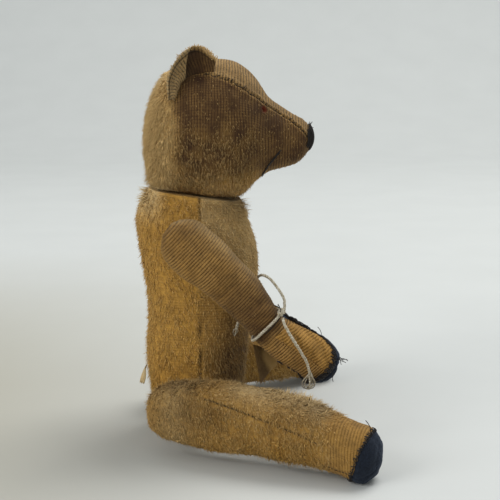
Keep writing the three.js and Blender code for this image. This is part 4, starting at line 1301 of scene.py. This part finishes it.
def make_leg(side):
    """One leg: cloth, pile, seam stitches, the felt sole and its stitches."""
    form, body = LEG_FORMS[side], f"leg_{side}"
    skin = Skin(form, int(230 * FINENESS[side]), int(116 * FINENESS[side]), leg_lift, above_floor)
    phase = rib_phase(*skin.grid, skin.points, 9)
    cloth = skin.mesh(f"leg_cloth_{side}", finish("mohair_cloth"), phase, 2 * np.pi / 110, leg_marks)
    place_piece(cloth, body, "gold_mohair", f"leg_{side}_cover")

    def look(s, turn, p):
        marks = leg_marks(s, turn, p)
        around = wrapped(turn)
        wild = 0.4 * bump_at(s, 48, 9)
        flat = 1 - 0.65 * bump_at(s, 30, 6) * bump_at(around, 0, 0.8)  # under the tag
        comb = np.zeros(p.shape) + form.axes[0] * 0.45 + np.array([0, 0, -0.9])
        comb = comb + 0.55 * np.stack([lumps(p, 8, 77 + k) for k in range(3)], -1)
        groove = 1 - 0.8 * bump_at(seam_miss(s, around), 0, 0.45) * ramp(s, 12, 16) * ramp(s, 58, 52)
        return {
            "density": (0.06 + marks["pile"] * ramp(s, 67, 60)) * ramp(p[..., 2], 0.3, 2.0)
            * ramp(s, 72, 68) * groove,
            "comb": comb,
            "length": (1.9 + 2.4 * wild + 1.0 * bump_at(around, 0, 0.6)) * sizes().pile_length * flat,
            "width": 0.115 + 0 * s,
            "rise": (0.36 + wild + 0.35 * bump_at(around, 0, 0.5)) * flat,
            "stray": 0.25 + wild,
        }

    pile = pile_object(f"leg_pile_{side}", skin, HAIRS[body], look, 13, leg_marks, above_floor)
    place_piece(pile, body, "gold_mohair")
    draw = np.random.default_rng(26)
    s = np.arange(13, 58, 1.6)
    reach = (1.2 + 0.25 * draw.normal(size=s.size), draw.normal(0.3, 0.15, s.size))
    outer = stitch_paths(skin, s, seam_turn(s), reach, -0.2, bow=0.3)
    s = np.arange(60, 71, 1.3)
    reach = (0.9 + 0 * s, draw.normal(0, 0.2, s.size))
    lower = stitch_paths(skin, s, np.full(s.size, 2.2), reach, -0.1, bow=0.25)
    thread_piece(f"leg_seam_threads_{side}", [tubes(outer, 0.14, 5), tubes(lower, 0.12, 5)], body)

    def felt_lift(s, turn, p):
        return 0.12 + 0.2 * lumps(p, 5, 81) + 0.12 * lumps(p, 1.6, 82)

    points, faces = cap_shell(skin, sole_edge, 110, 32, 0.6, felt_lift, jag_of(0.3, 5), above_floor)
    felt = mesh_object(f"sole_felt_piece_{side}", points, faces, finish("navy_felt"))
    place_piece(felt, body, "navy_felt", f"sole_felt_{side}")
    turns = np.arange(0, 2 * np.pi, 0.1) + draw.normal(0, 0.02, 63)
    edge = sole_edge(turns)
    leg = -(0.8 + 0.6 * draw.random(63))
    stitches = stitch_paths(skin, edge + 0.4, turns, (leg, 0.45 * draw.normal(size=63)), 0.35, bow=0.3)
    around = np.linspace(0, 2 * np.pi, 220)
    hem = skin.at(sole_edge(around) + 0.2 * np.sin(around * 37), around, 0.35 + 0.1 * np.sin(around * 43))[0]
    t = np.linspace(0, 1, 9)[:, None]
    start = skin.at(float(sole_edge(np.array(0.2))), 0.2, 0.4)[0]
    loose = start + t * np.array([-2.0, 0.3, 5.0]) + np.sin(3 * t) * np.array([0.6, 0, 0.3])
    lots = [tubes(stitches, 0.17), tubes(hem[None], 0.18), tubes(loose[None], 0.16)]
    points, faces = joined(lots)
    made = mesh_object(f"sole_stitches_{side}", above_floor(points), faces, finish("black_thread"))
    place_piece(made, body, "black_thread")
    return skin


# ------------------------------------------------------------------- the string and its tag
LONG_END = [
    [43.2, 0.62], [45, 0.86], [47.6, 1.07], [51.6, 1.31], [54.2, 1.42], [57.4, 1.54], [60.4, 1.62],
    [63.5, 1.78], [66.5, 2], [68.2, 2.3], [69, 2.6],
]
SHORT_END = [
    [40.9, 9.2, 11.2], [39.4, 10.6, 10.5], [37, 11.4, 9.6], [33.8, 12, 8.4], [30.4, 12.1, 6.9],
    [28, 11.2, 5.2], [27.3, 9.4, 3], [28, 6.6, 1], [29.6, 2.6, 0.35], [31.4, -1.8, 0.35],
    [33, -5.4, 0.9], [34.2, -8.6, 2.2], [35.6, -11.6, 3],
]
KNOT = [WRIST, 6.92, 13.05]


def plied(path, radius, plies=3, pitch=3.2, loose=0.0):
    """A twisted string along a path: thin plies that wind round each other, once a pitch, and stray a
    little. loose opens the twist towards the path's end."""
    far = np.concatenate([[0], np.cumsum(np.linalg.norm(np.diff(path, axis=0), axis=1))])
    ahead = unit(np.gradient(path, axis=0))
    side = unit(np.cross(ahead, [0.3, 0.2, 0.9]))
    over = np.cross(ahead, side)
    share = far / far[-1]
    start = np.arange(plies)[:, None] / plies * 2 * np.pi
    turn = start + 2 * np.pi * far / pitch * (1 - 0.3 * loose * share)
    away = radius * (0.55 + 0.08 * np.sin(far * 1.9 + 2.1 * start))
    strands = path + away[..., None] * (np.cos(turn)[..., None] * side + np.sin(turn)[..., None] * over)
    opened = loose * np.sin(np.pi * ramp(share, 0.7, 1)) * np.linspace(-1, 1, plies)[:, None]
    return tubes(strands + opened[..., None] * over, radius * (0.54 + 0.05 * np.sin(far * 2.7 + start)), 6)


def cord_piece(name, points, tail, end_name, nodes):
    """One end of the string, with its frayed or looped tail."""
    count = 90
    route = spline(points, count)
    shape, faces = plied(route, STRING_R, loose=1.5 if end_name == "string_tassel" else 0.2)
    made = mesh_object(name, shape, faces, finish("white_cotton"))
    place_piece(made, "arm_right", "white_cotton", *nodes)
    frayed, frayed_faces = tail
    end = mesh_object(end_name, frayed, frayed_faces, finish("white_cotton"))
    place_piece(end, "arm_right", "white_cotton")
    length = float(np.linalg.norm(np.diff(route, axis=0), axis=1).sum()) * MM
    return made, end, route, length


def frayed_end(tip, way, count, length, seed, radius=0.13):
    """Loose strands that spread from a cut end."""
    draw = np.random.default_rng(seed)
    t = np.linspace(0, 1, 8)[None, :, None]
    ways = unit(way + draw.normal(0, 0.33, (count, 3)))[:, None]
    curl = draw.normal(0, 0.5, (count, 1, 3)) * np.sin(np.pi * t)
    paths = tip + ways * t * length * draw.uniform(0.6, 1, (count, 1, 1)) + curl
    return tubes(paths, radius * (1 - 0.5 * t[..., 0]), 5)


def make_string():
    """The cotton string knotted round the right wrist, both of its ends and its frayed tails."""
    form = ARM_FORMS["right"]
    out_of_arm = lambda points: form.world(*np.moveaxis(np.asarray(points, float), -1, 0))
    turn = np.linspace(0, 2 * np.pi, 121)[:-1]
    waver = 0.25 * np.sin(2 * turn + 1)
    loop = form.point(WRIST + waver, turn, 2.2 * GAP + STRING_R - 0.35)
    loop = np.concatenate([loop, loop[:1]])
    wound = plied(loop, STRING_R)
    t = np.linspace(0, 2 * np.pi, 90)
    centre = out_of_arm(KNOT)
    ball = np.stack([0.75 * np.sin(2 * t + 0.4), 0.95 * np.sin(3 * t), 0.8 * np.cos(2 * t)], -1) @ form.axes
    knot = plied(centre + ball, 0.55)
    first = out_of_arm(SHORT_END[0])
    bow = 0.5 * (centre + first) + 0.5 * form.axes[0]
    bridge = plied(spline(np.stack([centre, bow, first]), 14), STRING_R)
    points, faces = joined([wound, knot, bridge])
    wrist = mesh_object("string_loop", points, faces, finish("white_cotton"))
    place_piece(wrist, "arm_right", "white_cotton", "wrist_string")

    long_points = np.array([form.point(s, turn, PAD + 2 * GAP + STRING_R) for s, turn in LONG_END])
    tip, way = long_points[-1], unit(long_points[-1] - long_points[-2])
    t = np.linspace(0, 1, 20)[None, :, None]
    draw = np.random.default_rng(28)
    start = spline(long_points, 90)[64]
    down = tip - start
    lateral = unit(np.cross(down, form.axes[2]))
    wide = np.array([-2.4, -1.4, 1.5, 2.5])[:, None, None] * np.sin(2 * np.pi * t)
    wide = wide * (1 - np.cos(2 * np.pi * t)) / 1.3
    reach = down * (0.5 - 0.5 * np.cos(2 * np.pi * t)) * draw.uniform(0.85, 1.08, (4, 1, 1))
    tassel = start + reach + lateral * wide + form.axes[2] * draw.uniform(0.3, 0.9, (4, 1, 1))
    made, end, route, length = cord_piece(
        "string_end_long", long_points, tubes(tassel, 0.19, 5), "string_tassel", ["string_long_end"])

    short_points = out_of_arm(SHORT_END)
    tip, way = short_points[-1], unit(short_points[-1] - short_points[-2])
    made, end, route, length = cord_piece(
        "string_end_short", short_points, frayed_end(tip, way, 7, 2.4, 29), "string_fray",
        ["string_short_end"])
    dark = form.point(WRIST + 0.9 + 0.2 * np.sin(3 * t[0, :, 0]), 0.1 + 1.6 * t[0, :, 0], 0.5)
    snag = centre + np.linspace(0, 1, 8)[:, None] * np.array([[-1.4, -1.5, 3.4]])
    snag = snag + draw.normal(0, 0.1, (8, 3))
    thread_piece("wrist_threads", [tubes(dark[None], 0.18), tubes(snag[None], 0.2)], "arm_right")


def make_tag():
    """The small plain card tag, curled, that hangs from the string under the wrist."""
    v, u = np.meshgrid(np.linspace(0, 1, 60), np.linspace(0, 1, 48), indexing="ij")
    left = [21.8 + 3 * v, 43.9 - 15.5 * v]
    right = [31.2, 37.2 - 3.6 * v]
    soft = 0.25 * np.sin(4 * v + 3 * u)
    middle = np.stack([
        left[0] + (right[0] - left[0]) * u, -(33.5 - 8.5 * u - 2.2 * np.sin(np.pi * u)) + soft,
        left[1] + (right[1] - left[1]) * u,
    ], -1)
    points, faces = leaf_shell(middle, np.array([-0.62, 0.78, 0]), 0.34, 30)
    # tint: painted shade over the left, curled part of the card, light towards the right.
    marks = {"tint": np.tile(ramp(u + 0.1 * np.sin(5 * v), 0.3, 0.6).ravel(), len(points) // u.size)}
    made = mesh_object("tag_curl", points, faces, finish("tag_card"), None, marks)
    place_piece(welded(made), "arm_right", "tag_card", "tag")


# ------------------------------------------------------------------- inside, and the studio
def dress_insides():
    """The straw, card discs, washers and pins of the joints keep their shapes and take their finishes."""
    finishes = {
        "_stuffing": "straw_filling", "_disc": "joint_card", "_washer": "joint_steel", "_pin": "joint_steel",
    }
    for name, node in frame["nodes"].items():
        for ending, wanted in finishes.items():
            if name.endswith(ending):
                node.data.materials.clear()
                node.data.materials.append(finish(wanted))


def aim(thing, target):
    """Turns a lamp or the camera towards a point."""
    way = Vector(target) - thing.location
    thing.rotation_euler = way.to_track_quat("-Z", "Y").to_euler()


def lamp(name, place, target, energy, size, colour=(1, 1, 1)):
    """A soft square studio lamp."""
    data = bpy.data.lights.new(name, "AREA")
    data.energy, data.size, data.color = energy, size, colour
    made = bpy.data.objects.new(name, data)
    made.location = place
    bpy.context.scene.collection.objects.link(made)
    aim(made, target)
    return made


def floor_finish():
    """Pale matt paint with the faintest mottling, and a painted soft shadow where the mark grime says."""
    f, c = Finish("studio_floor", 0.85), colours()
    pale = tuple(c.floor)
    plain = f.mix(f.span(f.noise(60, 3), 0.3, 0.7), tuple(0.97 * x for x in pale), pale)
    # The mark grime paints a soft shadow, darker and warmer, onto the floor.
    return f.done(f.mix(f.mark("grime"), plain, tuple(x * y for x, y in zip(pale, (0.6, 0.55, 0.44)))))


def make_stage():
    """The floor sweeping up behind, the lamps and the camera."""
    scene, c = bpy.context.scene, sizes()
    reach, rise, bend = 9.0, 2.6, 0.9
    u = np.linspace(0, 1, 90)[:, None]
    flat = reach * np.linspace(-1, 1, 61)[None] ** 3
    angle = np.clip((u - 0.55) / 0.25, 0, 1) * np.pi / 2
    y = np.where(u < 0.55, 1.1 - (reach + 1.1) * (1 - u / 0.55) ** 3, 1.1 + bend * np.sin(angle))
    z = bend * (1 - np.cos(angle)) + np.clip((u - 0.8) / 0.2, 0, 1) * rise
    points = np.stack(np.broadcast_arrays(flat, y, z), -1) / MM
    faces, _, _ = grid_faces(90, 61, False)
    # worn: a painted soft shadow on the floor, to the left of the bear and towards the camera.
    worn = ramp(flat, 0.12, -0.2) * ramp(flat, -0.9, -0.4) * ramp(y, 0.45, 0.0) * ramp(y, -1.2, -0.6)
    floor = mesh_object("floor", points, [faces], floor_finish(), None, {"grime": worn.ravel()})
    camera = bpy.data.objects.new("camera", bpy.data.cameras.new("camera"))
    camera.data.lens, camera.data.sensor_width = 81, 36
    camera.data.clip_start, camera.data.clip_end = 0.02, 20
    camera.location = (0.0208, -0.4432, 0.1521)
    scene.collection.objects.link(camera)
    aim(camera, (0.0208, 0, 0.074))
    scene.camera = camera
    middle = (0, 0, 0.07)
    lamp("key_lamp", (0.7, 0.55, 1.7), middle, 24, 1.1, (1, 0.99, 0.97))
    lamp("fill_lamp", (-1.3, -1.0, 0.9), middle, 13, 0.9, (1, 0.99, 0.97))
    world = bpy.data.worlds.new("studio")
    world.use_nodes = True
    world.node_tree.nodes["Background"].inputs["Color"].default_value = (0.66, 0.68, 0.68, 1)
    world.node_tree.nodes["Background"].inputs["Strength"].default_value = c.sky
    scene.world = world
    scene.view_settings.view_transform = "Standard"


# ------------------------------------------------------------------- what a user can change
def colour_property(name, description, red, green, blue):
    """A colour, given by its screen values."""
    return bpy.props.FloatVectorProperty(
        name=name, description=description, subtype="COLOR", size=3, min=0, max=1,
        default=rgb(red, green, blue))


class BearColours(bpy.types.PropertyGroup):
    """The colours of the bear's cloth, pile, felt, thread, string and tag."""

    groove: colour_property("Groove", "Between the ribs of the bare cloth", 56, 37, 16)
    ridge: colour_property("Ridge", "On the ribs of the bare cloth", 176, 136, 78)
    gold_dark: colour_property("Dark gold", "Felted pile in its hollows", 142, 102, 40)
    gold: colour_property("Gold", "Felted pile", 202, 160, 82)
    amber: colour_property("Amber", "The deepest of the old gold dye", 214, 154, 50)
    # Also the painted highlight on the upper sides of the arms and legs and on the ears' rolled-over bands.
    fluff_and_highlight: colour_property("Fluff", "Pale faded pile", 236, 216, 170)
    # Also the painted shade on the side of the head, at the throat and in the ears' hollows.
    grime: colour_property("Grime", "Handling dirt", 56, 34, 18)
    # Painted shade in the grooves of the seams, in the wrist's crease and in the ears' hollows.
    seam_shade: colour_property("Crevice", "The dark of the seams", 34, 24, 14)
    rust: colour_property("Rust", "Rust round the lost eyes", 112, 36, 16)
    straw_hair: colour_property("Straw", "Faded pile and the filling", 226, 186, 118)
    gold_hair: colour_property("Gold hair", "Pile that keeps its colour", 224, 176, 84)
    felt: colour_property("Felt", "Navy felt", 12, 18, 28)
    felt_lint: colour_property("Felt lint", "Lint on the felt", 34, 42, 56)
    thread: colour_property("Black thread", "Stitching thread", 16, 13, 12)
    thread_light: colour_property("Worn thread", "Where the thread is rubbed", 44, 36, 30)
    cotton_dark: colour_property("String shade", "Between the plies of the string", 140, 126, 96)
    cotton: colour_property("String", "White cotton", 226, 220, 204)
    # Painted shade on the tag's curled part.
    tag_shade: colour_property("Tag shading", "The shaded part of the tag", 84, 60, 26)
    tag: colour_property("Tag", "Plain buff card", 178, 146, 92)
    floor: colour_property("Floor", "The studio floor and backdrop", 208, 211, 210)


class BearSizes(bpy.types.PropertyGroup):
    """Sizes in millimetres, and the studio's light."""

    rib_pitch: bpy.props.FloatProperty(
        name="Rib pitch", description="From one rib of the cloth to the next, in millimetres",
        default=1.07, min=0.5, max=3)
    rib_height: bpy.props.FloatProperty(
        name="Rib height", description="How deep the cloth's grooves are, in millimetres",
        default=0.13, min=0, max=0.4)
    pile_length: bpy.props.FloatProperty(
        name="Pile length", description="Multiplies the length of every hair", default=1.0, min=0.2, max=2)
    sky: bpy.props.FloatProperty(
        name="Sky", description="Strength of the light from all round", default=0.75, min=0, max=3)


# ------------------------------------------------------------------- operators
class BEAR_OT_stage(bpy.types.Operator):
    """Lay the floor and set the lamps and the camera"""

    bl_idname = "bear.stage"
    bl_label = "Studio"
    bl_options = {"REGISTER", "UNDO"}

    def execute(self, context):
        make_stage()
        return {"FINISHED"}


class BEAR_OT_insides(bpy.types.Operator):
    """Give the filling and the joints' parts their finishes"""

    bl_idname = "bear.insides"
    bl_label = "Filling and joints"
    bl_options = {"REGISTER", "UNDO"}

    def execute(self, context):
        dress_insides()
        return {"FINISHED"}


class BEAR_OT_head(bpy.types.Operator):
    """Make the head's cloth, pile, nose, mouth and seam threads"""

    bl_idname = "bear.head"
    bl_label = "Head"
    bl_options = {"REGISTER", "UNDO"}

    def execute(self, context):
        make_face(make_head())
        return {"FINISHED"}


class BEAR_OT_ears(bpy.types.Operator):
    """Make both ears"""

    bl_idname = "bear.ears"
    bl_label = "Ears"
    bl_options = {"REGISTER", "UNDO"}

    def execute(self, context):
        make_ears()
        return {"FINISHED"}


class BEAR_OT_body(bpy.types.Operator):
    """Make the body's cloth, pile and torn scrap"""

    bl_idname = "bear.body"
    bl_label = "Body"
    bl_options = {"REGISTER", "UNDO"}

    def execute(self, context):
        make_body()
        return {"FINISHED"}


class BEAR_OT_arms(bpy.types.Operator):
    """Make both arms with their paws"""

    bl_idname = "bear.arms"
    bl_label = "Arms"
    bl_options = {"REGISTER", "UNDO"}

    def execute(self, context):
        for side in SIDES:
            make_arm(side)
        return {"FINISHED"}


class BEAR_OT_legs(bpy.types.Operator):
    """Make both legs with their soles"""

    bl_idname = "bear.legs"
    bl_label = "Legs"
    bl_options = {"REGISTER", "UNDO"}

    def execute(self, context):
        for side in SIDES:
            make_leg(side)
        return {"FINISHED"}


class BEAR_OT_string(bpy.types.Operator):
    """Make the wrist's string and its ends"""

    bl_idname = "bear.string"
    bl_label = "String"
    bl_options = {"REGISTER", "UNDO"}

    def execute(self, context):
        make_string()
        return {"FINISHED"}


class BEAR_OT_tag(bpy.types.Operator):
    """Make the tag"""

    bl_idname = "bear.tag"
    bl_label = "Tag"
    bl_options = {"REGISTER", "UNDO"}

    def execute(self, context):
        make_tag()
        return {"FINISHED"}


OPERATORS = [
    BEAR_OT_stage, BEAR_OT_string, BEAR_OT_tag, BEAR_OT_insides, BEAR_OT_body, BEAR_OT_head, BEAR_OT_ears,
    BEAR_OT_arms, BEAR_OT_legs,
]


class BEAR_PT_panel(bpy.types.Panel):
    """The bear's pieces, in the 3D view's sidebar."""

    bl_label, bl_idname = "Threadbare Bear", "BEAR_PT_panel"
    bl_space_type, bl_region_type, bl_category = "VIEW_3D", "UI", "Bear"

    def draw(self, context):
        for group in (context.scene.bear_sizes, context.scene.bear_colours):
            for name in group.__annotations__:
                self.layout.prop(group, name)
        for operator in OPERATORS:
            self.layout.operator(operator.bl_idname)


CLASSES = [BearColours, BearSizes, *OPERATORS, BEAR_PT_panel]


def register():
    for made in CLASSES:
        bpy.utils.register_class(made)
    bpy.types.Scene.bear_colours = bpy.props.PointerProperty(type=BearColours)
    bpy.types.Scene.bear_sizes = bpy.props.PointerProperty(type=BearSizes)


def unregister():
    del bpy.types.Scene.bear_sizes
    del bpy.types.Scene.bear_colours
    for made in reversed(CLASSES):
        bpy.utils.unregister_class(made)


def main():
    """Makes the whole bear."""
    register()
    for operator in OPERATORS:
        getattr(bpy.ops.bear, operator.bl_idname.split(".")[1])()


if __name__ == "__main__":
    main()
